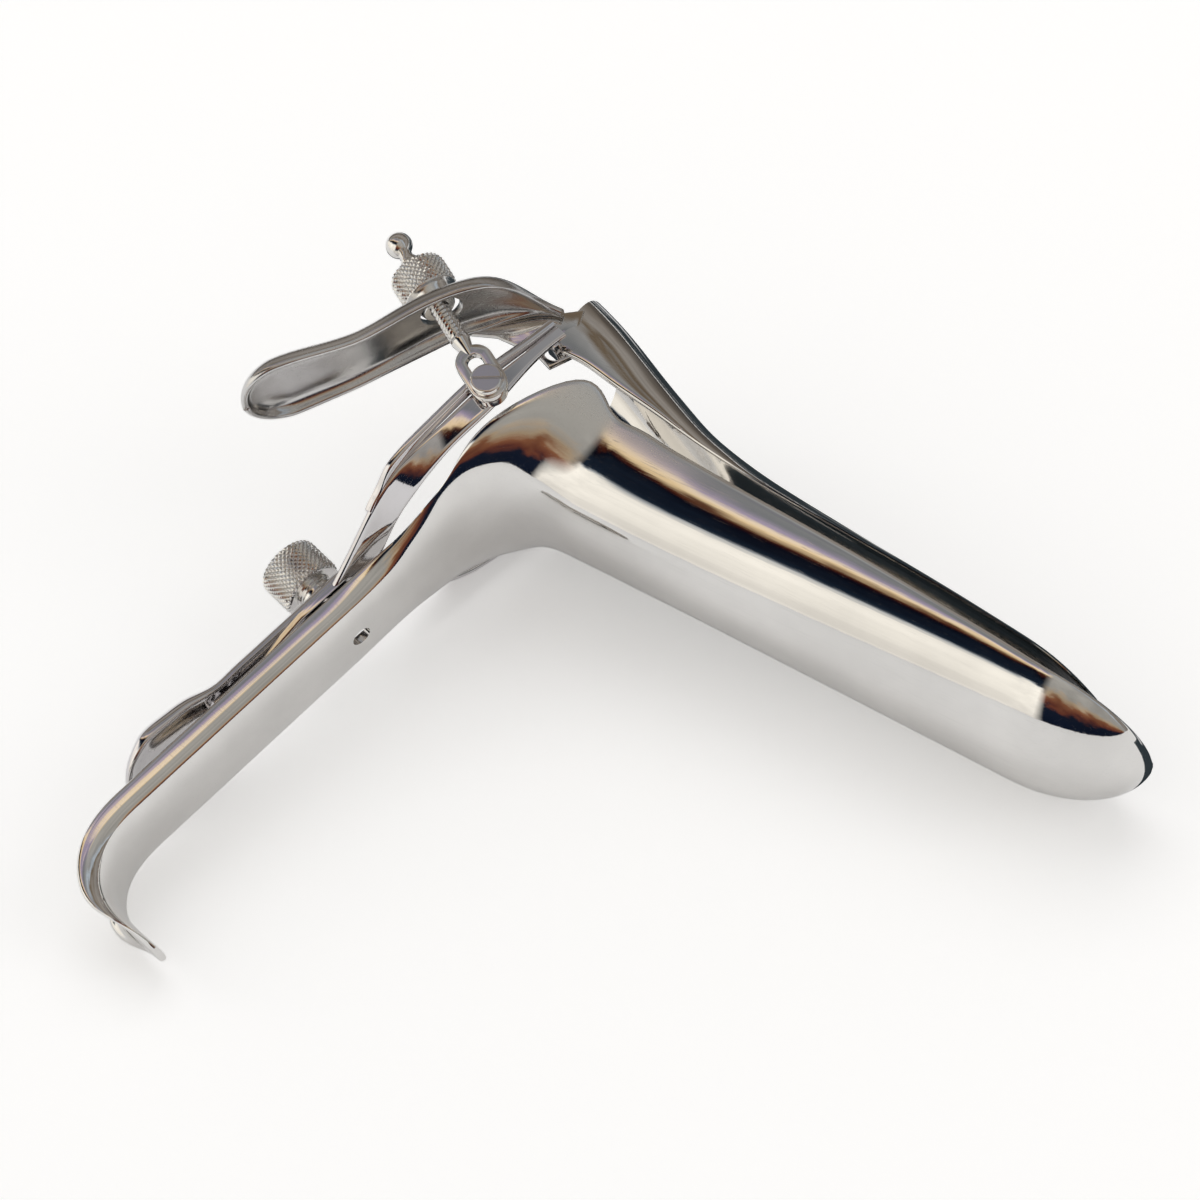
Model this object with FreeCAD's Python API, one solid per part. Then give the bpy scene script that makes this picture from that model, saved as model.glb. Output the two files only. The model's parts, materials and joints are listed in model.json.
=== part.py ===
import FreeCAD, Part
import math
import os
from FreeCAD import Vector

# Bivalve speculum in polished stainless sheet. It is drawn upright: X runs along the blades,
# Y across them with the lever on the -Y side, Z up, and the origin is the corner where the
# line of the handle's front face meets the line of the lower blade's underside.
# At the end the whole instrument is laid on its far side, as it rests on a table.

# Sheet and clearances
SHEET = 1.2
SLIDE_SHEET = 1.0
SLIDING_GAP = 0.35
RUNNING_GAP = 0.05
WELD_GAP = 0.02

# Rows and section points of the pressed sheets, and the sampling that finds the resting pose
ROW_PITCH = 5.0
SECTION_POINTS = 15
LAST_ROW_ANGLE = 88.0
LEAST_HOLLOW = 0.05
FINE = 0.03
RESTING_STEPS = 6

# Lower blade and handle
HANDLE_LEAN = 15.2
BLADE_DROOP = 0.7
ELBOW_RADIUS = 11.0
BLADE_REACH = 106.5
LOWER_TIP_ROUND = 18.5
HANDLE_STRAIGHT = 72.0
HOOK_ENTRY_RADIUS = 16.0
HOOK_ENTRY_TURN = 20.0
HOOK_RADIUS = 8.5
HOOK_TURN = 75.0
TONGUE_LENGTH = 6.0
TONGUE_HALF_WIDTH = 5.0
TONGUE_DEPTH = 0.5
HANDLE_HALF_WIDTH = 8.4
HANDLE_DEPTH = 4.5
WING_HALF_WIDTH = 19.5
WING_DEPTH = 18.4
THROAT_HALF_WIDTH = 15.0
TIP_HALF_WIDTH = 17.3
THROAT_DEPTH = 15.6
TIP_DEPTH = 10.5

# Upper blade
UPPER_REACH = 100.0
UPPER_TIP_ROUND = 16.0
UPPER_REAR = 0.0
UPPER_REAR_HALF_WIDTH = 16.9
UPPER_REAR_CROWN = 34.0
UPPER_REAR_EDGE = 20.8
UPPER_TIP_HALF_WIDTH = 17.2
UPPER_TIP_CROWN = 13.0
UPPER_TIP_EDGE = 10.4
UPPER_SHEET = 1.1
EAR_SPLAY = 4.0
EAR_LENGTH_NEAR = 13.5
EAR_LENGTH_FAR = 3.6
EAR_LOBE_RADIUS = 3.0

# Yoke, in handle coordinates: "down" is measured along the handle from the origin,
# "back" is measured from the handle's front face towards the user
ARM_HALF_WIDTH = 20.9
ARM_FRONT = 3.1
ARM_REAR = 6.9
ARM_TOP = -22.6
FLANGE = 1.7
FLANGE_END = 12.5
FLANGE_LIP = 0.08
STEM_HALF_WIDTH = 8.1
STEM_END_HALF_WIDTH = 6.0
STEM_TOP = 22.0
STEM_END = 54.0
HINGE_DOWN = -20.5
HINGE_BACK = 5.0
TONGUE_WIDTH = 2.4
HINGE_CLEARANCE = 0.33
TONGUE_INNER = 14.9

# Slide channel on the stem
CHANNEL_TOP = 24.0
CHANNEL_END = 71.0
CHANNEL_HALF_WIDTH = 7.5
CHANNEL_DEPTH = 2.0
SPOON_HALF_WIDTH = 9.0
SLIDE_TRAVEL = 16.0

# Thumb screw through the stem into the handle
SCREW_DOWN = 28.7
SCREW_SHANK = 3.2
SCREW_NECK = 6.4
SCREW_NECK_LENGTH = 3.0
SCREW_HEAD = 10.2
SCREW_HEAD_LENGTH = 6.8
SCREW_TIP = 0.3
SCREW_GROOVE = 0.45
SCREW_CHAMFER = 0.8
SLOT_CLEARANCE = 0.3

# Pivot screw, boss, rod and nut on the near arm
PIVOT_DOWN = -8.3
PIVOT_BACK = 4.8
BOSS_DIAMETER = 5.0
BOSS_HEIGHT = 1.9
EYE_THICKNESS = 1.4
EYE_HALF_WIDTH = 2.9
EYE_SLOT = 4.2
EYE_NECK_OVERLAP = 1.6
PIVOT_SHANK = 2.2
PIVOT_HEAD = 5.0
PIVOT_HEAD_HEIGHT = 1.2
PIVOT_SLOT_WIDTH = 0.5
PIVOT_SLOT_DEPTH = 0.5
PIVOT_SLOT_TURN = 28.0
ROD_DIAMETER = 3.0
ROD_LENGTH = 26.6
ROD_START = 8.6
ROD_ANGLE = 151.0
ROD_PIN_LENGTH = 1.6
BALL_DIAMETER = 4.1
BALL_NECK = 1.9
COLLAR_LENGTH = 2.4
NUT_BASE = 15.9
NUT_DIAMETER = 9.0
NUT_LENGTH = 5.2
NUT_SHOULDER = 2.2
NUT_SEAT_DIAMETER = 5.2
NUT_CHAMFER = 0.9

# Thumb lever: its back line starts at the root and follows arcs of (length, turn)
LEVER_ROOT = (-1.2, 27.0)
LEVER_HEADING = 191.6
LEVER_BENDS = [(14.0, 32.8), (12.0, 21.2), (12.0, -15.5), (13.6, 5.9)]
LEVER_END_ROUND = 7.6
LEVER_WIDTH = 13.2
LEVER_NECK = 12.2
LEVER_SPOON = 15.0
LEVER_RIM = 3.2
LEVER_HOLE = 6.6
LEVER_SHEET = 1.1

# Derived directions in the plane of symmetry
LEAN = math.radians(HANDLE_LEAN)
DOWN = Vector(-math.sin(LEAN), 0, -math.cos(LEAN))
BACK = Vector(-math.cos(LEAN), 0, math.sin(LEAN))
ACROSS = Vector(0, 1, 0)
ELBOW_TURN = 90.0 - HANDLE_LEAN + BLADE_DROOP
ELBOW_TANGENT = ELBOW_RADIUS * math.tan(math.radians(ELBOW_TURN / 2))
ELBOW_LENGTH = ELBOW_RADIUS * math.radians(ELBOW_TURN)
LOWER_LENGTH = ELBOW_LENGTH + BLADE_REACH - ELBOW_TANGENT
HOOK_ENTRY_LENGTH = HOOK_ENTRY_RADIUS * math.radians(HOOK_ENTRY_TURN)
HOOK_LENGTH = HOOK_RADIUS * math.radians(HOOK_TURN)
STRAIGHT_LENGTH = HANDLE_STRAIGHT - ELBOW_TANGENT
HANDLE_LENGTH = STRAIGHT_LENGTH + HOOK_ENTRY_LENGTH + HOOK_LENGTH + TONGUE_LENGTH
LEVER_LENGTH = sum(length for length, turn in LEVER_BENDS)
STEM_FRONT = HANDLE_DEPTH + SLIDING_GAP
STEM_REAR = STEM_FRONT + SHEET


def along_handle(down, back, y=0.0):
    """Point given by its distance down the handle, behind its front face and across."""
    return DOWN * down + BACK * back + Vector(0, y, 0)


HINGE = along_handle(HINGE_DOWN, HINGE_BACK)
PIVOT = along_handle(PIVOT_DOWN, PIVOT_BACK)
ROD_DIRECTION = Vector(math.cos(math.radians(ROD_ANGLE)), 0, math.sin(math.radians(ROD_ANGLE)))
EYE_INNER = ARM_HALF_WIDTH + BOSS_HEIGHT + RUNNING_GAP
ROD_Y = -(EYE_INNER + EYE_THICKNESS / 2)


def smooth_row(rows, where):
    """Values between hand-set stations, by cubic Hermite steps without overshoot."""
    if where <= rows[0][0]:
        return rows[0][1:]
    if where >= rows[-1][0]:
        return rows[-1][1:]
    k = max(i for i in range(len(rows) - 1) if rows[i][0] <= where)
    width = rows[k + 1][0] - rows[k][0]
    t = (where - rows[k][0]) / width

    def slope(i, column):
        if i == 0 or i == len(rows) - 1:
            return 0.0
        left = (rows[i][column] - rows[i - 1][column]) / (rows[i][0] - rows[i - 1][0])
        right = (rows[i + 1][column] - rows[i][column]) / (rows[i + 1][0] - rows[i][0])
        if left * right <= 0:
            return 0.0
        return 2 * left * right / (left + right)

    values = []
    for column in range(1, len(rows[0])):
        a, b = rows[k][column], rows[k + 1][column]
        ma, mb = slope(k, column) * width, slope(k + 1, column) * width
        cubic = (2 * t**3 - 3 * t**2 + 1) * a + (t**3 - 2 * t**2 + t) * ma
        cubic += (-2 * t**3 + 3 * t**2) * b + (t**3 - t**2) * mb
        values.append(cubic)
    return values


def trace(start, heading, pieces, distance):
    """Point and heading (radians) at a distance along straight and arc pieces (length, turn)."""
    x, z = start
    angle = math.radians(heading)
    for length, turn in pieces:
        step = min(distance, length)
        bend = math.radians(turn) * step / length
        if turn == 0:
            x += step * math.cos(angle)
            z += step * math.sin(angle)
        else:
            radius = length / math.radians(turn)
            x += radius * (math.sin(angle + bend) - math.sin(angle))
            z -= radius * (math.cos(angle + bend) - math.cos(angle))
        angle += bend
        distance -= step
        if distance <= 0:
            break
    if distance > 0:
        x += distance * math.cos(angle)
        z += distance * math.sin(angle)
    return x, z, angle


def trough(half_width, depth, fullness, sweep):
    """Channel section: (across, rise) points evenly spaced along a superellipse arc."""
    count = SECTION_POINTS
    power = 2.0 / fullness
    limit = math.radians(sweep)
    top = 1 - abs(math.cos(limit)) ** power
    side = math.sin(limit) ** power
    fine = []
    for i in range(-200, 201):
        angle = limit * i / 200
        across = math.copysign(abs(math.sin(angle)) ** power / side, angle) * half_width
        rise = (1 - abs(math.cos(angle)) ** power) / top * depth
        fine.append((across, rise))
    length = [0.0]
    for a, b in zip(fine, fine[1:]):
        length.append(length[-1] + math.hypot(b[0] - a[0], b[1] - a[1]))
    points = []
    k = 0
    for j in range(count):
        goal = length[-1] * j / (count - 1)
        while k < len(fine) - 2 and length[k + 1] < goal:
            k += 1
        t = (goal - length[k]) / (length[k + 1] - length[k])
        points.append((fine[k][0] + t * (fine[k + 1][0] - fine[k][0]),
                       fine[k][1] + t * (fine[k + 1][1] - fine[k][1])))
    return points


def round_ended(start, body, count, rounding, tip_rows):
    """Places of the rows of a sheet: even along its body, closer together round its end."""
    places = [start + (body - start) * i / count for i in range(count)]
    for i in range(tip_rows):
        angle = math.radians(LAST_ROW_ANGLE) * i / (tip_rows - 1)
        places.append(body + rounding * math.sin(angle))
    return places


def closing(past, rounding):
    """How far a row lies round the end, and what is left of the width there."""
    over = max(0.0, past / rounding)
    return over, math.sqrt(max(0.0, 1 - over**2))


def offset_grid(grid, distance):
    """The same grid of points moved along the surface normal."""
    rows, columns = len(grid), len(grid[0])
    moved = []
    for i in range(rows):
        line = []
        for j in range(columns):
            along = grid[min(i + 1, rows - 1)][j] - grid[max(i - 1, 0)][j]
            side = grid[i][min(j + 1, columns - 1)] - grid[i][max(j - 1, 0)]
            normal = along.cross(side)
            normal.normalize()
            line.append(grid[i][j] + normal * distance)
        moved.append(line)
    return moved


def fair_curve(points):
    """Cubic curve through points that count as evenly spaced."""
    curve = Part.BSplineCurve()
    curve.interpolate(Points=points, Parameters=[float(i) for i in range(len(points))])
    return curve


def fair_surface(grid):
    """Smooth surface through a grid of points with evenly counted rows and columns."""
    rows = [fair_curve(line).getPoles() for line in grid]
    columns = [fair_curve(list(line)).getPoles() for line in zip(*rows)]
    lengthways = fair_curve([line[0] for line in grid])
    crossways = fair_curve(grid[0])
    surface = Part.BSplineSurface()
    surface.buildFromPolesMultsKnots([list(line) for line in zip(*columns)],
                                     lengthways.getMultiplicities(), crossways.getMultiplicities(),
                                     lengthways.getKnots(), crossways.getKnots(),
                                     False, False, 3, 3)
    return surface


def sheet_solid(outer, inner):
    """Solid sheet between two grids of points, one patch to a row, closed by ruled rims."""
    last_row, last_column = len(outer) - 1, len(outer[0]) - 1
    surfaces = [fair_surface(points) for points in (outer, inner)]
    faces = []
    for row in range(last_row):
        for surface in surfaces:
            patch = surface.copy()
            patch.segment(row, row + 1, 0, last_column)
            faces.append(patch.toShape())
        for column in (0, last_column):
            rim = [surface.vIso(column).toShape(row, row + 1) for surface in surfaces]
            faces.append(Part.makeRuledSurface(rim[0], rim[1]))
    for row in (0, last_row):
        rim = [surface.uIso(row).toShape() for surface in surfaces]
        faces.append(Part.makeRuledSurface(rim[0], rim[1]))
    shell = Part.makeShell(faces)
    shell.sewShape(0.005)
    solid = Part.Solid(shell)
    if solid.Volume < 0:
        shell.reverse()
        solid = Part.Solid(shell)
    return solid


def cylinder(radius, start, end):
    """Round bar between two points."""
    axis = end - start
    return Part.makeCylinder(radius, axis.Length, start, axis)


def revolved(profile, start, direction):
    """Turned piece: (radius, distance) profile points about an axis from a start point."""
    points = [Vector(r, 0, h) for r, h in profile]
    face = Part.Face(Part.makePolygon(points + [points[0]]))
    solid = face.revolve(Vector(0, 0, 0), Vector(0, 0, 1), 360)
    turn = FreeCAD.Rotation(Vector(0, 0, 1), direction)
    solid.Placement = FreeCAD.Placement(start, turn)
    return solid


def slot_cutter(start, end, width, direction, depth):
    """Long hole with round ends, as a cutter of the given depth along a direction."""
    radius = width / 2
    run = end - start
    side = direction.cross(run)
    side.normalize()
    along = Vector(run)
    along.normalize()
    a, b = start + side * radius, end + side * radius
    c, d = end - side * radius, start - side * radius
    wire = Part.Wire([Part.LineSegment(a, b).toShape(),
                      Part.Arc(b, end + along * radius, c).toShape(),
                      Part.LineSegment(c, d).toShape(),
                      Part.Arc(d, start - along * radius, a).toShape()])
    return Part.Face(wire).extrude(direction * depth)


def lower_spine(distance):
    """Front face of the handle (negative) and underside of the blade (positive)."""
    corner = DOWN * ELBOW_TANGENT
    start = (corner.x, corner.z)
    if distance >= 0:
        pieces = [(ELBOW_LENGTH, -ELBOW_TURN)]
        x, z, angle = trace(start, 90 - HANDLE_LEAN, pieces, distance)
        return Vector(x, 0, z), Vector(-math.sin(angle), 0, math.cos(angle))
    pieces = [(STRAIGHT_LENGTH, 0), (HOOK_ENTRY_LENGTH, HOOK_ENTRY_TURN), (HOOK_LENGTH, HOOK_TURN)]
    x, z, angle = trace(start, 270 - HANDLE_LEAN, pieces, -distance)
    return Vector(x, 0, z), Vector(math.sin(angle), 0, -math.cos(angle))


def lower_stations():
    """Distance, half width, depth, fullness and sweep of the channel along the spine."""
    end = -HANDLE_LENGTH
    full = LOWER_LENGTH
    flare = TIP_HALF_WIDTH - THROAT_HALF_WIDTH
    fall = THROAT_DEPTH - TIP_DEPTH
    return [
        (end, TONGUE_HALF_WIDTH - 1.8, TONGUE_DEPTH * 0.7, 2.6, 60),
        (end + 1.4, TONGUE_HALF_WIDTH, TONGUE_DEPTH, 2.8, 60),
        (end + 5.0, TONGUE_HALF_WIDTH + 1.6, TONGUE_DEPTH + 0.9, 3.0, 70),
        (end + 11.0, HANDLE_HALF_WIDTH - 0.3, HANDLE_DEPTH - 0.9, 3.6, 85),
        (end + 19.0, HANDLE_HALF_WIDTH, HANDLE_DEPTH, 4.0, 90),
        (-20.0, HANDLE_HALF_WIDTH, HANDLE_DEPTH, 4.0, 90),
        (-12.0, HANDLE_HALF_WIDTH + 0.5, HANDLE_DEPTH - 0.4, 3.6, 85),
        (-5.5, HANDLE_HALF_WIDTH + 2.2, HANDLE_DEPTH - 1.3, 3.0, 76),
        (0.0, WING_HALF_WIDTH - 6.7, HANDLE_DEPTH - 1.6, 2.6, 70),
        (3.3, WING_HALF_WIDTH - 4.5, HANDLE_DEPTH - 1.1, 2.4, 70),
        (6.4, WING_HALF_WIDTH - 2.2, WING_DEPTH - 13.0, 2.4, 74),
        (8.5, WING_HALF_WIDTH - 0.8, WING_DEPTH - 10.2, 2.5, 78),
        (10.9, WING_HALF_WIDTH, WING_DEPTH - 4.5, 2.6, 80),
        (12.8, WING_HALF_WIDTH - 0.4, WING_DEPTH, 2.7, 82),
        (17.0, THROAT_HALF_WIDTH + 1.8, THROAT_DEPTH + 1.6, 2.7, 84),
        (24.0, THROAT_HALF_WIDTH + 0.5, THROAT_DEPTH + 0.8, 2.7, 86),
        (36.0, THROAT_HALF_WIDTH, THROAT_DEPTH, 2.6, 88),
        (full - 51.0, THROAT_HALF_WIDTH + flare * 0.4, THROAT_DEPTH - fall / 3, 2.4, 88),
        (full - 26.0, TIP_HALF_WIDTH - 0.3, TIP_DEPTH + 1.1, 2.2, 88),
        (full - 14.0, TIP_HALF_WIDTH, TIP_DEPTH, 2.1, 88),
        (full, TIP_HALF_WIDTH, TIP_DEPTH, 2.0, 88),
    ]


def lower_grid(inset):
    """Surface of the lower stamping, from the hook's tongue to the blade's tip."""
    stations = lower_stations()
    grid = []
    start = -HANDLE_LENGTH
    body = LOWER_LENGTH - LOWER_TIP_ROUND
    count = round((body - start) / ROW_PITCH)
    rounding = LOWER_TIP_ROUND - inset
    for place in round_ended(start, body, count, rounding, 8):
        half_width, depth, fullness, sweep = smooth_row(stations, place)
        over, close = closing(place - body, rounding)
        half = (half_width - inset) * close
        hollow = max(depth - inset, LEAST_HOLLOW)
        lift = inset + hollow * (1 - close)
        point, normal = lower_spine(place)
        line = []
        for across, rise in trough(half, hollow * close, fullness, sweep):
            line.append(point + normal * (lift + rise) + ACROSS * across)
        grid.append(line)
    return grid


def lower_blade():
    """Fixed blade, mouth wings, handle and hook, stamped from one sheet."""
    solid = sheet_solid(lower_grid(0), lower_grid(SHEET))
    hole = cylinder(SCREW_SHANK / 2 + RUNNING_GAP, along_handle(SCREW_DOWN, -2),
                    along_handle(SCREW_DOWN, HANDLE_DEPTH))
    return solid.cut(hole)


def upper_stations():
    """X, crown height, edge height, half width, fullness and sweep of the upper blade."""
    end = UPPER_REACH
    return [
        (UPPER_REAR, UPPER_REAR_CROWN, UPPER_REAR_EDGE, UPPER_REAR_HALF_WIDTH, 4.0, 90),
        (4.0, UPPER_REAR_CROWN - 1.4, UPPER_REAR_EDGE + 0.4, UPPER_REAR_HALF_WIDTH, 3.8, 90),
        (10.0, 30.1, 20.4, 16.5, 3.5, 90),
        (20.0, 25.6, 19.1, 15.8, 3.2, 84),
        (29.0, 22.2, 17.7, 15.4, 3.0, 74),
        (38.0, 20.6, 16.6, 15.4, 2.6, 64),
        (54.0, 18.6, 15.2, 15.9, 2.4, 60),
        (73.0, 16.4, 13.4, 16.8, 2.2, 60),
        (end - 12.0, UPPER_TIP_CROWN + 1.5, UPPER_TIP_EDGE + 1.2, UPPER_TIP_HALF_WIDTH - 0.1, 2.1, 64),
        (end, UPPER_TIP_CROWN, UPPER_TIP_EDGE, UPPER_TIP_HALF_WIDTH, 2.0, 70),
    ]


def upper_grid(inset):
    """Surface of the upper blade, drawn in upright sections from mouth to tip."""
    stations = upper_stations()
    body = UPPER_REACH - UPPER_TIP_ROUND
    rounding = UPPER_TIP_ROUND - inset
    grid = []
    for x in round_ended(UPPER_REAR, body, 16, rounding, 7):
        crown, edge, half_width, fullness, sweep = smooth_row(stations, x)
        over, close = closing(x - body, rounding)
        height = (crown - inset - edge) * close
        section = trough((half_width - inset) * close, height, fullness, sweep)
        grid.append([Vector(x, across, edge + height - rise) for across, rise in section])
    return grid


def ear_outline(length):
    """Side outline of an ear: hinge lobe, and a tail that carries the lever where it is long."""
    rear = -length
    top_front = Vector(UPPER_REAR + 1.0, 0, UPPER_REAR_CROWN - 5.0)
    if length > EAR_LENGTH_FAR + 1:
        tail = [Vector(-3.6, 0, 25.6), Vector(-7.6, 0, 23.2), Vector(-10.6, 0, 20.6),
                Vector(rear, 0, 17.4), Vector(rear + 0.7, 0, 17.1), Vector(-8.5, 0, 18.9)]
    else:
        tail = [Vector(-0.8, 0, 27.0), Vector(rear, 0, 23.0), Vector(rear, 0, 20.4)]
    lobe = HINGE + Vector(-EAR_LOBE_RADIUS * 0.8, 0, -EAR_LOBE_RADIUS * 0.6)
    bottom = HINGE + Vector(EAR_LOBE_RADIUS * 0.25, 0, -EAR_LOBE_RADIUS * 0.97)
    front = Vector(UPPER_REAR + 3.4, 0, UPPER_REAR_EDGE + 0.6)
    return [top_front] + tail + [lobe, bottom, front]


def ear(side, length):
    """Ear plate on one side, splayed slightly outwards behind the mouth."""
    points = ear_outline(length)
    face = Part.Face(Part.makePolygon(points + [points[0]]))
    outer = UPPER_REAR_HALF_WIDTH
    plate = face.extrude(ACROSS * UPPER_SHEET)
    plate.translate(Vector(0, outer - UPPER_SHEET, 0))
    plate.rotate(Vector(0, outer, 0), Vector(0, 0, 1), -EAR_SPLAY)
    if side < 0:
        plate = plate.mirror(Vector(0, 0, 0), ACROSS)
    return plate


def upper_blade():
    """Moving blade with its two ears and their hinge holes."""
    solid = sheet_solid(upper_grid(0), upper_grid(UPPER_SHEET))
    solid = solid.fuse([ear(-1, EAR_LENGTH_NEAR), ear(1, EAR_LENGTH_FAR)])
    bore = math.hypot(TONGUE_WIDTH, SHEET) / 2 + HINGE_CLEARANCE
    hole = cylinder(bore, HINGE - ACROSS * 30, HINGE + ACROSS * 30)
    return solid.cut(hole)


def arm_edges():
    """Front and rear edges of one arm as (across, down, back) rows from the stem to the top."""
    rear = STEM_FRONT
    wide = ARM_HALF_WIDTH
    front_rows = [(1.0, STEM_TOP + 3.0, rear), (5.0, STEM_TOP - 2.8, rear),
                  (11.0, 14.2, 4.4), (16.4, 8.6, 3.5), (19.7, 1.0, ARM_FRONT + 0.2),
                  (wide, PIVOT_DOWN, ARM_FRONT), (wide - 0.2, -16.0, ARM_FRONT + 0.9),
                  (wide - 0.6, ARM_TOP, HINGE_BACK - 1.1)]
    rear_rows = [(STEM_HALF_WIDTH, STEM_TOP + 5.2, rear), (11.6, STEM_TOP + 0.4, rear + 0.5),
                 (16.4, 16.6, 5.8), (19.5, 10.0, 6.7), (20.5, 1.5, ARM_REAR),
                 (wide, PIVOT_DOWN, ARM_REAR), (wide - 0.2, -16.0, ARM_REAR - 0.6),
                 (wide - 0.6, ARM_TOP, HINGE_BACK + 1.1)]
    return front_rows, rear_rows


def curve_points(rows, count):
    """Even points on a smooth curve through (across, down, back) rows on the far side."""
    curve = Part.BSplineCurve()
    curve.interpolate([along_handle(down, back, y) for y, down, back in rows])
    return curve.discretize(count)


def arm():
    """Far arm of the hoop: a strip that turns from flat at the stem to upright at the side."""
    front_rows, rear_rows = arm_edges()
    count = 26
    front = curve_points(front_rows, count)
    rear = curve_points(rear_rows, count)
    grid = []
    for a, b in zip(front, rear):
        grid.append([a + (b - a) * (j / 4) for j in range(5)])
    return sheet_solid(grid, offset_grid(grid, SHEET))


def flange():
    """Outward flange along the arm's rear edge, ending in a rounded corner at the bulge."""
    rear_rows = arm_edges()[1][2:]
    curve = Part.BSplineCurve()
    curve.interpolate([along_handle(down, back, y) for y, down, back in rear_rows])
    count = 24
    grid = []
    for point in curve.discretize(count):
        down = point.dot(DOWN)
        to_end = max(0.0, FLANGE_END - down) / 3.0
        grow = math.sqrt(1 - (1 - min(1.0, to_end))**2)
        slim = min(1.0, max(0.0, (down - ARM_TOP) / (PIVOT_DOWN - ARM_TOP)))
        reach = 0.15 + (FLANGE - 0.15) * grow * (0.3 + 0.7 * slim)
        inner = point - ACROSS * (SHEET * 0.6) + BACK * FLANGE_LIP
        outer = point + ACROSS * reach + BACK * FLANGE_LIP
        grid.append([inner + (outer - inner) * (j / 3) for j in range(4)])
    return sheet_solid(grid, offset_grid(grid, SHEET))


def hinge_tongue():
    """Inward tongue at the arm's top, which the ear hangs on."""
    outer = ARM_HALF_WIDTH - 0.6 - SHEET * 0.5
    length = outer - TONGUE_INNER
    box = Part.makeBox(TONGUE_WIDTH, length, SHEET)
    box.translate(Vector(-TONGUE_WIDTH / 2, TONGUE_INNER, -SHEET / 2))
    box.rotate(Vector(0, 0, 0), ACROSS, HANDLE_LEAN)
    box.translate(HINGE)
    return box


def stem_outline():
    """Outline of the stem plate in (across, down), with a rounded crotch and foot."""
    half, foot = STEM_HALF_WIDTH, STEM_END_HALF_WIDTH
    return [(0, STEM_TOP + 1.2), (4.2, STEM_TOP - 0.6), (half, STEM_TOP + 3.4),
            (half, CHANNEL_TOP + 10), (foot, CHANNEL_TOP + 18), (foot, STEM_END - 2),
            (foot - 2, STEM_END)]


def stem():
    """Flat stem of the yoke behind the handle."""
    half = stem_outline()
    loop = half + [(-y, down) for y, down in reversed(half[1:])]
    points = [along_handle(down, STEM_FRONT, y) for y, down in loop]
    return Part.Face(Part.makePolygon(points + [points[0]])).extrude(BACK * SHEET)


def screw_slot(front, depth):
    """Cutter for the long slot that the thumb screw runs in."""
    top = SCREW_DOWN
    bottom = SCREW_DOWN + SLIDE_TRAVEL
    width = SCREW_SHANK + 2 * SLOT_CLEARANCE
    return slot_cutter(along_handle(top, front), along_handle(bottom, front), width, BACK, depth)


def yoke():
    """Hoop with two arms, flanges, hinge tongues and the slotted stem."""
    far = arm().fuse([flange(), hinge_tongue()])
    near = far.mirror(Vector(0, 0, 0), ACROSS)
    seat = cylinder(BOSS_DIAMETER / 2 + WELD_GAP, PIVOT - ACROSS * (ARM_HALF_WIDTH + WELD_GAP),
                    PIVOT - ACROSS * 30)
    bore = cylinder(PIVOT_SHANK / 2 + RUNNING_GAP, PIVOT - ACROSS * 10, PIVOT - ACROSS * 30)
    whole = stem().fuse([far, near])
    return whole.cut([screw_slot(STEM_FRONT - 1, SHEET + 2), seat, bore])


def channel_stations():
    """Down, half width, depth and open-edge distance of the slide channel."""
    end = CHANNEL_END
    edge = STEM_REAR + WELD_GAP
    return [
        (CHANNEL_TOP, CHANNEL_HALF_WIDTH, CHANNEL_DEPTH, edge),
        (end - 21.0, CHANNEL_HALF_WIDTH, CHANNEL_DEPTH, edge),
        (end - 17.0, SPOON_HALF_WIDTH - 0.9, CHANNEL_DEPTH + 0.6, edge + 0.6),
        (end - 9.0, SPOON_HALF_WIDTH, CHANNEL_DEPTH + 1.0, edge + 0.9),
        (end - 3.0, SPOON_HALF_WIDTH, CHANNEL_DEPTH + 0.6, edge + 0.2),
        (end, SPOON_HALF_WIDTH, CHANNEL_DEPTH + 0.4, edge - 0.7),
    ]


def channel_grid(inset):
    """Surface of the slide channel, from its square top to the spoon's round end."""
    stations = channel_stations()
    body = CHANNEL_END - SPOON_HALF_WIDTH
    rounding = SPOON_HALF_WIDTH - inset
    grid = []
    for down in round_ended(CHANNEL_TOP, body, 10, rounding, 7):
        half_width, depth, edge = smooth_row(stations, down)
        over, close = closing(down - body, rounding)
        half = (half_width - inset) * close
        height = (depth - inset) * close
        line = []
        for across, rise in trough(half, height, 4.0 - 1.4 * over, 88):
            line.append(along_handle(down, edge + height - rise, across))
        grid.append(line)
    return grid


def slide_channel():
    """Shallow channel that stiffens the stem and ends in a thumb spoon."""
    solid = sheet_solid(channel_grid(0), channel_grid(SLIDE_SHEET))
    return solid.cut(screw_slot(STEM_REAR, CHANNEL_DEPTH + 3))


def thumb_screw():
    """Clamping screw: knurled head, grooved neck, and a shank through both slots."""
    seat = STEM_REAR + WELD_GAP + CHANNEL_DEPTH + 0.1
    shank = SCREW_SHANK / 2
    neck = SCREW_NECK / 2
    head = SCREW_HEAD / 2
    tip = seat + SCREW_TIP
    top = SCREW_NECK_LENGTH + SCREW_HEAD_LENGTH
    root = neck - SCREW_GROOVE
    profile = [(0, -tip), (shank - 0.3, -tip), (shank, 0.3 - tip), (shank, 0),
               (neck, 0), (neck, 0.7), (root, 0.9), (root, 1.2),
               (neck, 1.4), (neck, 2.0), (root, 2.2), (root, 2.5),
               (neck, 2.7), (neck, SCREW_NECK_LENGTH), (head - 0.7, SCREW_NECK_LENGTH),
               (head, SCREW_NECK_LENGTH + 0.6), (head, top - SCREW_CHAMFER),
               (head - SCREW_CHAMFER, top), (head - SCREW_CHAMFER - 1, top + 0.1), (0, top - 0.2)]
    return revolved(profile, along_handle(SCREW_DOWN, seat), BACK)


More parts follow.
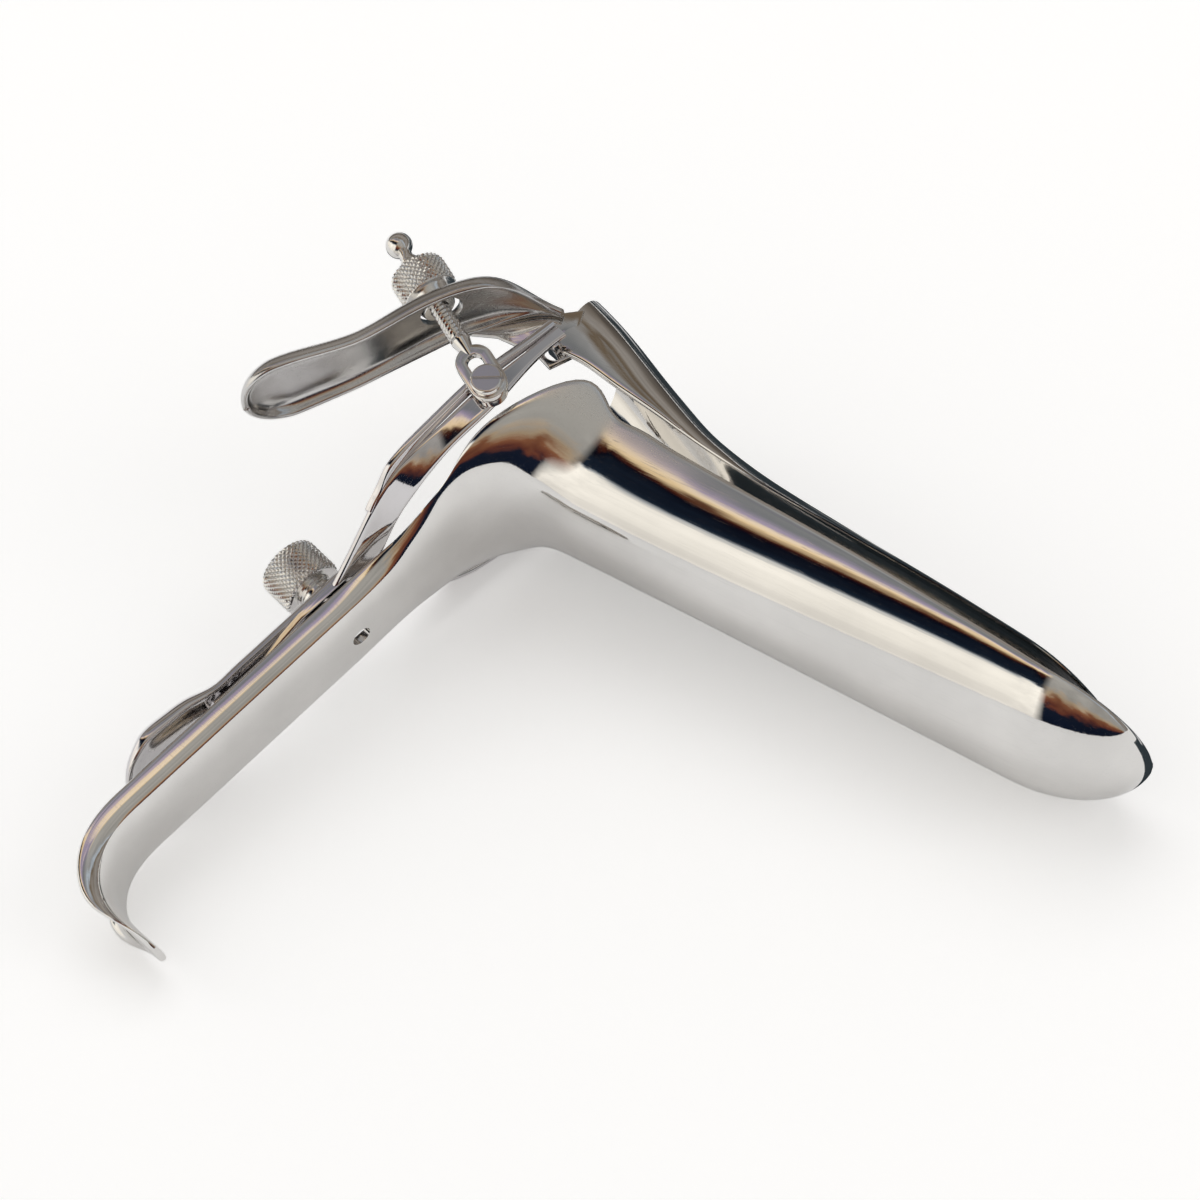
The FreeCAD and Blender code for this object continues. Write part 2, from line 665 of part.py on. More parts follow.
def pivot_boss():
    """Threaded boss on the outside of the near arm."""
    foot = PIVOT - ACROSS * (ARM_HALF_WIDTH + 2 * WELD_GAP)
    face = PIVOT - ACROSS * (ARM_HALF_WIDTH + BOSS_HEIGHT)
    bore = cylinder(PIVOT_SHANK / 2 + RUNNING_GAP, foot + ACROSS, face - ACROSS)
    return cylinder(BOSS_DIAMETER / 2, foot, face).cut(bore)


def pivot_screw():
    """Slotted screw through the rod's eye into the boss and the arm."""
    inner = PIVOT - ACROSS * (ARM_HALF_WIDTH - SHEET)
    under = PIVOT - ACROSS * (EYE_INNER + EYE_THICKNESS + RUNNING_GAP)
    top = under - ACROSS * PIVOT_HEAD_HEIGHT
    head = cylinder(PIVOT_HEAD / 2, under, top)
    head = head.makeFillet(0.4, [e for e in head.Edges if abs(e.CenterOfMass.y - top.y) < 0.01])
    screw = head.fuse(cylinder(PIVOT_SHANK / 2, inner, under))
    slot = Part.makeBox(PIVOT_HEAD + 2, PIVOT_SLOT_DEPTH + 1, PIVOT_SLOT_WIDTH)
    slot.translate(Vector(-PIVOT_HEAD / 2 - 1, -1, -PIVOT_SLOT_WIDTH / 2))
    slot.rotate(Vector(0, 0, 0), ACROSS, -PIVOT_SLOT_TURN)
    slot.translate(top + ACROSS * PIVOT_SLOT_DEPTH)
    return screw.removeSplitter().cut(slot)


def threaded_rod():
    """Rod with a flattened eye and a long hole, so that it can swing and slide on its screw."""
    base = Vector(PIVOT.x, ROD_Y, PIVOT.z)
    d = ROD_DIRECTION
    half = EYE_THICKNESS / 2
    eye = slot_cutter(base + ACROSS * half, base + d * EYE_SLOT + ACROSS * half,
                      2 * EYE_HALF_WIDTH, -ACROSS, EYE_THICKNESS)
    cone_start = EYE_SLOT + EYE_HALF_WIDTH - EYE_NECK_OVERLAP
    neck = Part.makeCone(half, ROD_DIAMETER / 2, ROD_START - cone_start,
                         base + d * cone_start, d)
    bar = cylinder(ROD_DIAMETER / 2, base + d * ROD_START, base + d * (ROD_LENGTH - ROD_PIN_LENGTH))
    pin = cylinder(BALL_NECK / 2 - RUNNING_GAP, base + d * (ROD_START + 1), base + d * ROD_LENGTH)
    hole = slot_cutter(base + ACROSS * 2, base + d * EYE_SLOT + ACROSS * 2,
                       PIVOT_SHANK + 2 * RUNNING_GAP, -ACROSS, 4)
    return eye.fuse([neck, bar, pin]).removeSplitter().cut(hole)


def rod_stop():
    """Ball with a short collar, pressed on the rod's end to keep the nut on."""
    base = Vector(PIVOT.x, ROD_Y, PIVOT.z) + ROD_DIRECTION * (ROD_LENGTH - ROD_PIN_LENGTH + WELD_GAP)
    radius = BALL_DIAMETER / 2
    neck = BALL_NECK / 2 + 0.1
    centre = base + ROD_DIRECTION * (COLLAR_LENGTH - 0.9 + radius)
    ball = Part.makeSphere(radius, centre)
    collar = revolved([(0, 0), (neck + 0.35, 0), (neck, 0.9), (neck, COLLAR_LENGTH),
                       (0, COLLAR_LENGTH)], base, ROD_DIRECTION)
    socket = cylinder(BALL_NECK / 2, base - ROD_DIRECTION,
                      base + ROD_DIRECTION * (ROD_PIN_LENGTH + RUNNING_GAP))
    return ball.fuse(collar).cut(socket)


def lever_nut():
    """Knurled nut with a tapered shoulder that seats in the lever's hole."""
    base = Vector(PIVOT.x, ROD_Y, PIVOT.z) + ROD_DIRECTION * NUT_BASE
    bore = ROD_DIAMETER / 2 + RUNNING_GAP
    seat = NUT_SEAT_DIAMETER / 2
    outer = NUT_DIAMETER / 2
    top = NUT_SHOULDER + NUT_LENGTH
    rim = outer - NUT_CHAMFER
    profile = [(bore, -0.6), (seat, -0.6), (seat + 0.4, 0.6), (rim, NUT_SHOULDER - 0.4),
               (outer, NUT_SHOULDER + 0.5), (outer, top - NUT_CHAMFER), (rim, top),
               (rim - 1.1, top + 0.2), (bore, top + 0.2)]
    return revolved(profile, base, ROD_DIRECTION)


def lever_stations():
    """Distance, inner edge, outer edge and rim depth of the lever."""
    centre = -ROD_Y
    inner = UPPER_REAR_HALF_WIDTH + 0.35
    broad = LEVER_WIDTH / 2
    neck = LEVER_NECK / 2
    spoon = LEVER_SPOON / 2
    return [
        (0.0, inner, inner + 1.8, 0.9),
        (4.0, inner + 0.15, inner + 5.5, 1.5),
        (8.0, inner + 0.3, centre + broad - 1.6, 2.5),
        (12.5, centre - broad + 0.2, centre + broad, LEVER_RIM),
        (22.0, centre - broad, centre + broad, LEVER_RIM),
        (31.0, centre - neck + 0.5, centre + neck + 0.8, LEVER_RIM - 0.3),
        (37.0, centre - spoon + 2.0, centre + spoon + 0.8, LEVER_RIM - 0.2),
        (43.0, centre - spoon + 2.0, centre + spoon + 2.0, LEVER_RIM),
        (LEVER_LENGTH, centre - spoon + 2.4, centre + spoon + 2.4, LEVER_RIM),
    ]


def lever_grid(inset):
    """Surface of the lever, from its welded root to the spoon's end."""
    body = LEVER_LENGTH - LEVER_END_ROUND
    rounding = LEVER_END_ROUND - inset
    grid = []
    for place in round_ended(0.0, body, 14, rounding, 7):
        inner, outer, rim = smooth_row(lever_stations(), place)
        over, close = closing(place - body, rounding)
        x, z, angle = trace(LEVER_ROOT, LEVER_HEADING, LEVER_BENDS, place)
        normal = Vector(-math.sin(angle), 0, math.cos(angle))
        middle = Vector(x, -(inner + outer) / 2, z)
        half = max((outer - inner) / 2 - inset, 0.3) * close
        hollow = max(rim - inset, LEAST_HOLLOW)
        lift = inset + hollow * (1 - close)
        line = []
        for across, rise in trough(half, hollow * close, 4.0 - 1.0 * over, 88):
            line.append(middle + normal * (lift + rise) + ACROSS * across)
        grid.append(line)
    return grid


def thumb_lever():
    """Lever: a channel with raised rims, a hole for the rod and a spoon end."""
    solid = sheet_solid(lever_grid(0), lever_grid(LEVER_SHEET))
    base = Vector(PIVOT.x, ROD_Y, PIVOT.z)
    hole = cylinder(LEVER_HOLE / 2, base + ROD_DIRECTION * 11, base + ROD_DIRECTION * 21)
    return solid.cut(hole)


def build():
    """All pieces in the upright frame, by node name."""
    return {
        "lower_blade": lower_blade(),
        "upper_blade": upper_blade(),
        "thumb_lever": thumb_lever(),
        "yoke": yoke(),
        "slide_channel": slide_channel(),
        "thumb_screw": thumb_screw(),
        "pivot_boss": pivot_boss(),
        "pivot_screw": pivot_screw(),
        "threaded_rod": threaded_rod(),
        "rod_stop": rod_stop(),
        "lever_nut": lever_nut(),
    }


def surface_points(shape):
    """Points on a shape's surface, close enough together to find what it rests on."""
    return shape.tessellate(FINE)[0]


def resting_axes(shapes):
    """Axes of the lying pose: it rests on the hoop's far arm, the blade's end and the hook."""
    blade = surface_points(shapes["lower_blade"])
    regions = [surface_points(shapes["yoke"]),
               [p for p in blade if p.x > BLADE_REACH / 2],
               [p for p in blade if p.z < -HANDLE_STRAIGHT * 0.8]]
    below = ACROSS
    for turn in range(RESTING_STEPS):
        hoop, tip, hook = [max(points, key=lambda p: p.dot(below)) for points in regions]
        below = (tip - hoop).cross(hook - hoop)
        below.normalize()
        if below.y < 0:
            below = below * -1
    up = below * -1
    along = Vector(1, 0, 0) - up * up.x
    along.normalize()
    return along, up.cross(along), up


def lying_placement(shapes):
    """Placement that lays the instrument down with the middle of its base at the origin."""
    along, over, up = resting_axes(shapes)
    turn = FreeCAD.Matrix(along.x, along.y, along.z, 0, over.x, over.y, over.z, 0,
                          up.x, up.y, up.z, 0, 0, 0, 0, 1)
    points = [turn.multVec(p) for shape in shapes.values() for p in surface_points(shape)]
    xs = [p.x for p in points]
    ys = [p.y for p in points]
    floor = min(p.z for p in points)
    shift = Vector(-(min(xs) + max(xs)) / 2, -(min(ys) + max(ys)) / 2, -floor)
    return FreeCAD.Placement(shift, FreeCAD.Rotation(turn))


if __name__ == "__main__":
    os.makedirs("parts", exist_ok=True)
    pieces = build()
    placement = lying_placement(pieces)
    for name, shape in pieces.items():
        solid = shape.Solids[0].copy()
        solid.Placement = placement.multiply(solid.Placement)
        solid.exportStep("parts/" + name + ".step")
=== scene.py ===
import json
import math

import bmesh
import bpy
import numpy as np
from mathutils import Matrix, Vector


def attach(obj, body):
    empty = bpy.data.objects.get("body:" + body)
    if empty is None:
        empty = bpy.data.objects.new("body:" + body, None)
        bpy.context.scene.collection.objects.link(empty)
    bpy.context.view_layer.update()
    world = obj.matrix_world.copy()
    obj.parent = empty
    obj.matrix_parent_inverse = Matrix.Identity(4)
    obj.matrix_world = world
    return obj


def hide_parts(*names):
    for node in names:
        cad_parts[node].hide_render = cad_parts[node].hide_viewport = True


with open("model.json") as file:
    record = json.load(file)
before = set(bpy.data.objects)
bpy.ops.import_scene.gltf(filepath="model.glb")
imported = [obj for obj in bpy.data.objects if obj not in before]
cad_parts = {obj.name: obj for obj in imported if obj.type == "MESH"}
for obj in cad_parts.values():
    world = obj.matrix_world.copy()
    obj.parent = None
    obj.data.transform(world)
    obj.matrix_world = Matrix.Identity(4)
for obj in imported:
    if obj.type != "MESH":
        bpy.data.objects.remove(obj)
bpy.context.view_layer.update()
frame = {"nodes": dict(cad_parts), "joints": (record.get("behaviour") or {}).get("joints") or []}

MM = 0.001
WELD = 1e-7
SHARP_ANGLE = math.radians(38.0)

# Points on the fine lines that even points are read from, and a rim's largest share of a sheet
FINE_SECTION = 401
FINE_LINE = 600
LARGEST_RIM = 0.2

# The upright frame of the instrument, in millimetres: X along the blades, Y away from the
# lever's side, Z up. Its place in the row frame follows from the joints.
HANDLE_LEAN = math.radians(15.2)
HINGE_DOWN = -20.5
HINGE_BACK = 5.0

joints = {joint["name"]: joint for joint in frame["joints"]}
UP_HANDLE = Vector(joints["frame_slide"]["axis"])
NEAR = Vector(joints["blade_hinge"]["axis"])
BACK = Vector(joints["clamp_turn"]["axis"])
DOWN = -UP_HANDLE
ALONG = -DOWN * math.sin(HANDLE_LEAN) - BACK * math.cos(HANDLE_LEAN)
OVER = -DOWN * math.cos(HANDLE_LEAN) + BACK * math.sin(HANDLE_LEAN)
FAR = -NEAR
HINGE = Vector(joints["blade_hinge"]["pos_m"])
ORIGIN = HINGE - (DOWN * HINGE_DOWN + BACK * HINGE_BACK) * MM

# Sheet sizes, as in the solids
SHEET = 1.2
UPPER_SHEET = 1.1
LEVER_SHEET = 1.1
SLIDE_SHEET = 1.0
ELBOW_RADIUS = 11.0
ELBOW_TURN = 75.5
BLADE_REACH = 106.5
LOWER_TIP_ROUND = 18.5
HANDLE_STRAIGHT = 72.0
HOOK_ENTRY_RADIUS = 16.0
HOOK_ENTRY_TURN = 20.0
HOOK_RADIUS = 8.5
HOOK_TURN = 75.0
TONGUE_LENGTH = 6.0
UPPER_REACH = 100.0
UPPER_TIP_ROUND = 16.0
LEVER_LENGTH = 51.6
LEVER_TIP_ROUND = 7.6
LEAST_HOLLOW = 0.05
ROD_Y = -23.55

ELBOW_TANGENT = ELBOW_RADIUS * math.tan(math.radians(ELBOW_TURN / 2))
ELBOW_LENGTH = ELBOW_RADIUS * math.radians(ELBOW_TURN)
LOWER_LENGTH = ELBOW_LENGTH + BLADE_REACH - ELBOW_TANGENT
HOOK_ENTRY_LENGTH = HOOK_ENTRY_RADIUS * math.radians(HOOK_ENTRY_TURN)
HOOK_LENGTH = HOOK_RADIUS * math.radians(HOOK_TURN)
STRAIGHT_LENGTH = HANDLE_STRAIGHT - ELBOW_TANGENT
HANDLE_LENGTH = STRAIGHT_LENGTH + HOOK_ENTRY_LENGTH + HOOK_LENGTH + TONGUE_LENGTH

LEAN_DOWN = np.array([-math.sin(HANDLE_LEAN), 0, -math.cos(HANDLE_LEAN)])
LEAN_BACK = np.array([-math.cos(HANDLE_LEAN), 0, math.sin(HANDLE_LEAN)])


def to_row(points):
    """Points of the upright frame, in millimetres, as metres in the row frame."""
    axes = np.array([ALONG, FAR, OVER])
    return np.asarray(points, float) @ axes * MM + np.array(ORIGIN)


def smooth_row(rows, where):
    """Values between stations, by cubic Hermite steps without overshoot."""
    if where <= rows[0][0]:
        return rows[0][1:]
    if where >= rows[-1][0]:
        return rows[-1][1:]
    k = max(i for i in range(len(rows) - 1) if rows[i][0] <= where)
    width = rows[k + 1][0] - rows[k][0]
    t = (where - rows[k][0]) / width

    def slope(i, column):
        if i == 0 or i == len(rows) - 1:
            return 0.0
        left = (rows[i][column] - rows[i - 1][column]) / (rows[i][0] - rows[i - 1][0])
        right = (rows[i + 1][column] - rows[i][column]) / (rows[i + 1][0] - rows[i][0])
        if left * right <= 0:
            return 0.0
        return 2 * left * right / (left + right)

    values = []
    for column in range(1, len(rows[0])):
        a, b = rows[k][column], rows[k + 1][column]
        ma, mb = slope(k, column) * width, slope(k + 1, column) * width
        cubic = (2 * t**3 - 3 * t**2 + 1) * a + (t**3 - 2 * t**2 + t) * ma
        values.append(cubic + (-2 * t**3 + 3 * t**2) * b + (t**3 - t**2) * mb)
    return values


def trace(start, heading, pieces, distance):
    """Point and heading at a distance along straight and arc pieces (length, turn)."""
    x, z = start
    angle = math.radians(heading)
    for length, turn in pieces:
        step = min(distance, length)
        bend = math.radians(turn) * step / length
        if turn == 0:
            x += step * math.cos(angle)
            z += step * math.sin(angle)
        else:
            radius = length / math.radians(turn)
            x += radius * (math.sin(angle + bend) - math.sin(angle))
            z -= radius * (math.cos(angle + bend) - math.cos(angle))
        angle += bend
        distance -= step
        if distance <= 0:
            break
    if distance > 0:
        x += distance * math.cos(angle)
        z += distance * math.sin(angle)
    return x, z, angle


def run_lengths(line):
    """Distance along a line of points, from its first point to each of them."""
    return np.concatenate([[0], np.cumsum(np.linalg.norm(np.diff(line, axis=0), axis=1))])


def read_line(line, goal):
    """Points of a line at given distances along it."""
    length = run_lengths(line)
    return np.stack([np.interp(goal, length, column) for column in line.T], axis=1)


def trough(half_width, depth, fullness, sweep, count):
    """Channel section: (across, rise) points evenly spaced along a superellipse arc."""
    power = 2.0 / fullness
    limit = math.radians(sweep)
    angle = np.linspace(-limit, limit, FINE_SECTION)
    across = np.copysign(np.abs(np.sin(angle)) ** power / math.sin(limit) ** power, angle)
    top = 1 - abs(math.cos(limit)) ** power
    rise = (1 - np.abs(np.cos(angle)) ** power) / top
    line = np.stack([across * half_width, rise * depth], axis=1)
    return read_line(line, np.linspace(0, run_lengths(line)[-1], count)).T


def spline(rows, steps, goal):
    """Smooth curve through rows of values that lie the given steps apart, read at the goals."""
    n = len(rows)
    starts = np.concatenate([[0], np.cumsum(steps)])
    system = np.zeros((n, n))
    right = np.zeros_like(rows)
    system[0, :2] = 1, -1
    system[-1, -2:] = -1, 1
    for i in range(1, n - 1):
        before, after = steps[i - 1], steps[i]
        system[i, i - 1:i + 2] = before, 2 * (before + after), after
        right[i] = 6 * ((rows[i + 1] - rows[i]) / after - (rows[i] - rows[i - 1]) / before)
    bend = np.linalg.solve(system, right)
    k = np.clip(np.searchsorted(starts, goal, side="right") - 1, 0, n - 2)
    width = steps[k][:, None]
    t = (goal - starts[k])[:, None] / width
    line = rows[k] * (1 - t) + rows[k + 1] * t
    return line + (((1 - t) ** 3 - (1 - t)) * bend[k] + (t**3 - t) * bend[k + 1]) * width**2 / 6


def fair(values, count):
    """Even points on a smooth curve through rows of values that count as evenly spaced."""
    values = np.asarray(values, float)
    n = len(values)
    fine = spline(values.reshape(n, -1), np.ones(n - 1), np.linspace(0, n - 1, count))
    return fine.reshape((count,) + values.shape[1:])


def fair_grid(grid, rows, columns):
    """A fine grid through a coarse one, smooth both ways."""
    grid = fair(np.array(grid), rows)
    return np.swapaxes(fair(np.swapaxes(grid, 0, 1), columns), 0, 1)


def rounded_loop(outer, inner, cap):
    """Closed section of a sheet: outer line, round rim, inner line back, round rim."""
    def shorten(line, mate):
        length = run_lengths(line)[-1]
        radius = min(np.linalg.norm(line[0] - mate[0]) / 2, length * LARGEST_RIM)
        return read_line(line, np.linspace(radius, length - radius, len(line)))

    a, b = shorten(outer, inner), shorten(inner, outer)
    turn = np.linspace(0, math.pi, cap + 2)[1:-1, None]
    tail_reach = (outer[-1] + inner[-1]) / 2 - (a[-1] + b[-1]) / 2
    head_reach = (outer[0] + inner[0]) / 2 - (a[0] + b[0]) / 2
    tail = (a[-1] + b[-1]) / 2 + (a[-1] - b[-1]) / 2 * np.cos(turn) + tail_reach * np.sin(turn)
    head = (a[0] + b[0]) / 2 + (b[0] - a[0]) / 2 * np.cos(turn) + head_reach * np.sin(turn)
    return np.concatenate([a, tail, b[::-1], head])


def linked(name, data):
    """A new object in the scene."""
    obj = bpy.data.objects.new(name, data)
    bpy.context.scene.collection.objects.link(obj)
    return obj


def mesh_object(name, points, faces):
    """A mesh object from points in the upright frame."""
    mesh = bpy.data.meshes.new(name)
    mesh.from_pydata(to_row(points).tolist(), [], faces)
    shape = bmesh.new()
    shape.from_mesh(mesh)
    bmesh.ops.remove_doubles(shape, verts=shape.verts, dist=WELD)
    bmesh.ops.recalc_face_normals(shape, faces=shape.faces)
    shape.to_mesh(mesh)
    shape.free()
    mesh.shade_smooth()
    mesh.set_sharp_from_angle(angle=SHARP_ANGLE)
    return linked(name, mesh)


def loops_object(name, loops):
    """A closed mesh through a row of equal closed loops, capped at both ends."""
    loops = np.array(loops)
    rows, columns = loops.shape[:2]
    index = np.arange(rows * columns).reshape(rows, columns)
    faces = []
    for i in range(rows - 1):
        for j in range(columns):
            k = (j + 1) % columns
            faces.append((index[i, j], index[i, k], index[i + 1, k], index[i + 1, j]))
    half = columns // 2
    for row in (index[0], index[-1]):
        for j in range(half - 1):
            faces.append((row[j], row[j + 1], row[columns - 2 - j], row[columns - 1 - j]))
    return mesh_object(name, loops.reshape(-1, 3), [[int(v) for v in f] for f in faces])


def sheet_object(name, outer, inner, rows, columns, cap=5):
    """A sheet with round rims between two coarse grids of points."""
    a, b = fair_grid(outer, rows, columns), fair_grid(inner, rows, columns)
    return loops_object(name, [rounded_loop(x, y, cap) for x, y in zip(a, b)])


def finished(obj, cutters=(), rim=0.0):
    """Cut holes in a piece and ease its edges, for good."""
    for cutter in cutters:
        cut = obj.modifiers.new("cut", "BOOLEAN")
        cut.operation = "DIFFERENCE"
        cut.solver = "EXACT"
        cut.object = cutter
    if rim:
        ease = obj.modifiers.new("ease", "BEVEL")
        ease.width = rim * MM
        ease.segments = 3
        ease.limit_method = "ANGLE"
        ease.angle_limit = SHARP_ANGLE
    mesh = bpy.data.meshes.new_from_object(obj.evaluated_get(bpy.context.evaluated_depsgraph_get()))
    obj.modifiers.clear()
    obj.data = mesh
    mesh.shade_smooth()
    mesh.set_sharp_from_angle(angle=SHARP_ANGLE)
    for cutter in cutters:
        bpy.data.objects.remove(cutter)
    return obj


def prism(name, loop, depth):
    """A plate or cutter: a flat loop of points pushed through by a depth vector."""
    loop = np.asarray(loop, float)
    n = len(loop)
    faces = [list(range(n)), list(range(2 * n - 1, n - 1, -1))]
    faces += [[i, (i + 1) % n, n + (i + 1) % n, n + i] for i in range(n)]
    return mesh_object(name, np.concatenate([loop, loop + np.asarray(depth, float)]), faces)


def long_loop(start, end, width, normal, steps=24):
    """Outline of a long hole or a round one, in the plane across a normal."""
    start, end, normal = (np.asarray(v, float) for v in (start, end, normal))
    run = end - start
    if np.linalg.norm(run) < 1e-6:
        run = np.array([1.0, 0.0, 0.0]) if abs(normal[0]) < 0.9 else np.array([0.0, 0.0, 1.0])
        run = run - normal * run.dot(normal)
    run = run / np.linalg.norm(run)
    side = np.cross(normal, run)
    loop = []
    for centre, first in ((end, -90), (start, 90)):
        for i in range(steps + 1):
            angle = math.radians(first + 180 * i / steps)
            loop.append(centre + (run * math.cos(angle) + side * math.sin(angle)) * width / 2)
    return loop


def dense(profile, step):
    """A turned profile with extra points along its long sides."""
    points = []
    for a, b in zip(profile, profile[1:]):
        count = max(1, round(math.dist(a, b) / step))
        points += [(a[0] + (b[0] - a[0]) * i / count, a[1] + (b[1] - a[1]) * i / count)
                   for i in range(count)]
    return points + [profile[-1]]


def turned(name, profile, start, axis, segments=96, relief=None):
    """A turned piece: a profile of (radius, height) round an axis square to Y, with a relief."""
    profile = np.array(profile)
    side = np.cross(axis, [0.0, 1.0, 0.0])
    side = side / np.linalg.norm(side)
    third = np.cross(axis, side)
    rings = []
    for i in range(segments):
        angle = 2 * math.pi * i / segments
        radius = profile[:, 0] - (relief(angle, profile) if relief else 0.0)
        spoke = side * math.cos(angle) + third * math.sin(angle)
        rings.append(start + np.outer(profile[:, 1], axis) + np.outer(radius, spoke))
    count = len(profile)
    faces = []
    for i in range(segments):
        k = (i + 1) % segments
        for j in range(count):
            m = (j + 1) % count
            faces.append([i * count + j, i * count + m, k * count + m, k * count + j])
    return mesh_object(name, np.concatenate(rings), faces)


def ridge(turns):
    """Triangle wave from 0 in the groove to 1 on the ridge."""
    return 1 - np.abs(2 * (turns - np.floor(turns)) - 1)


def knurl(radius, low, high, depth, around):
    """Diamond knurling at 45 degrees on the round side between two heights."""
    end_fade, rim_fade, flat_tops = 0.25, 1.2, 1.25

    def relief(angle, profile):
        turn = around * angle / (2 * math.pi)
        climb = around * profile[:, 1] / (2 * math.pi * radius)
        peak = np.minimum(ridge(turn + climb), ridge(turn - climb))
        fade = np.clip(np.minimum(profile[:, 1] - low, high - profile[:, 1]) / end_fade, 0, 1)
        side = np.clip((profile[:, 0] - radius + rim_fade) / rim_fade, 0, 1)
        return depth * (1 - np.minimum(peak * flat_tops, 1)) * fade * side
    return relief


def thread(radius, low, high, depth, pitch):
    """Screw thread on the round side between two heights."""
    def relief(angle, profile):
        height = profile[:, 1]
        fade = np.clip(np.minimum(height - low, high - height) / pitch, 0, 1)
        groove = 1 - ridge(height / pitch - angle / (2 * math.pi))
        return depth * groove * fade * (profile[:, 0] > radius - 0.05)
    return relief


def even_line(points, count):
    """Even points on a smooth curve through given ones, counted by their distances."""
    points = np.asarray(points, float)
    steps = np.linalg.norm(np.diff(points, axis=0), axis=1)
    line = spline(points, steps, np.linspace(0, steps.sum(), FINE_LINE))
    return read_line(line, np.linspace(0, run_lengths(line)[-1], count))


def round_ended(start, body, count, rounding, tip_rows):
    """Places of the rows of a sheet: even along its body, closer together round its end."""
    places = [start + (body - start) * i / count for i in range(count)]
    last_angle = math.radians(88.0)
    for i in range(tip_rows):
        places.append(body + rounding * math.sin(last_angle * i / (tip_rows - 1)))
    return places


def closing(place, body, rounding):
    """How far a row lies into a round end, and the share of its section that is left there."""
    over = max(0.0, (place - body) / rounding)
    return over, math.sqrt(max(0.0, 1 - over**2))


def offset_grid(grid, distance):
    """The same grid of points moved along the surface normal."""
    grid = np.asarray(grid, float)
    along = np.gradient(grid, axis=0)
    side = np.gradient(grid, axis=1)
    normal = np.cross(along, side)
    return grid + normal / np.linalg.norm(normal, axis=2, keepdims=True) * distance


def at(down, back, across=0.0):
    """Point given by its distance down the handle, behind its front face and across."""
    return LEAN_DOWN * down + LEAN_BACK * back + np.array([0, across, 0])


def lower_spine(distance):
    """Front face of the handle (negative) and underside of the blade (positive)."""
    corner = LEAN_DOWN * ELBOW_TANGENT
    start = (corner[0], corner[2])
    lean = math.degrees(HANDLE_LEAN)
    if distance >= 0:
        x, z, angle = trace(start, 90 - lean, [(ELBOW_LENGTH, -ELBOW_TURN)], distance)
        return np.array([x, 0, z]), np.array([-math.sin(angle), 0, math.cos(angle)])
    pieces = [(STRAIGHT_LENGTH, 0), (HOOK_ENTRY_LENGTH, HOOK_ENTRY_TURN), (HOOK_LENGTH, HOOK_TURN)]
    x, z, angle = trace(start, 270 - lean, pieces, -distance)
    return np.array([x, 0, z]), np.array([math.sin(angle), 0, -math.cos(angle)])


def lower_stations():
    """Distance, half width, depth, fullness and sweep of the channel along the spine."""
    end = -HANDLE_LENGTH
    full = LOWER_LENGTH
    return [
        (end, 3.2, 0.35, 2.6, 60), (end + 1.4, 5.0, 0.5, 2.8, 60),
        (end + 5.0, 6.6, 1.4, 3.0, 70), (end + 11.0, 8.1, 3.6, 3.6, 85),
        (end + 19.0, 8.4, 4.5, 4.0, 90), (-20.0, 8.4, 4.5, 4.0, 90),
        (-12.0, 8.9, 4.1, 3.6, 85), (-5.5, 10.6, 3.2, 3.0, 76),
        (0.0, 12.8, 2.9, 2.6, 70), (3.3, 15.0, 3.4, 2.4, 70),
        (6.4, 17.3, 5.4, 2.4, 74), (8.5, 18.7, 8.2, 2.5, 78),
        (10.9, 19.5, 13.9, 2.6, 80), (12.8, 19.1, 18.4, 2.7, 82),
        (17.0, 16.8, 17.2, 2.7, 84), (24.0, 15.5, 16.4, 2.7, 86),
        (36.0, 15.0, 15.6, 2.6, 88), (full - 51.0, 15.9, 13.9, 2.4, 88),
        (full - 26.0, 17.0, 11.6, 2.2, 88), (full - 14.0, 17.3, 10.5, 2.1, 88),
        (full, 17.3, 10.5, 2.0, 88),
    ]


def lower_grid(inset, row_pitch=5.0, columns=15):
    """Surface of the lower stamping, from the hook's tongue to the blade's tip."""
    start, body = -HANDLE_LENGTH, LOWER_LENGTH - LOWER_TIP_ROUND
    rounding = LOWER_TIP_ROUND - inset
    count = round((body - start) / row_pitch)
    grid = []
    for place in round_ended(start, body, count, rounding, 8):
        half_width, depth, fullness, sweep = smooth_row(lower_stations(), place)
        close = closing(place, body, rounding)[1]
        hollow = max(depth - inset, LEAST_HOLLOW)
        across, rise = trough((half_width - inset) * close, hollow * close, fullness, sweep, columns)
        point, normal = lower_spine(place)
        lift = inset + hollow * (1 - close)
        line = point + np.outer(rise + lift, normal)
        line[:, 1] += across
        grid.append(line)
    return grid


def upper_stations():
    """X, crown height, edge height, half width, fullness and sweep of the upper blade."""
    end = UPPER_REACH
    return [
        (0.0, 34.0, 20.8, 16.9, 4.0, 90), (4.0, 32.6, 21.2, 16.9, 3.8, 90),
        (10.0, 30.1, 20.4, 16.5, 3.5, 90), (20.0, 25.6, 19.1, 15.8, 3.2, 84),
        (29.0, 22.2, 17.7, 15.4, 3.0, 74), (38.0, 20.6, 16.6, 15.4, 2.6, 64),
        (54.0, 18.6, 15.2, 15.9, 2.4, 60), (73.0, 16.4, 13.4, 16.8, 2.2, 60),
        (end - 12.0, 14.5, 11.6, 17.1, 2.1, 64), (end, 13.0, 10.4, 17.2, 2.0, 70),
    ]


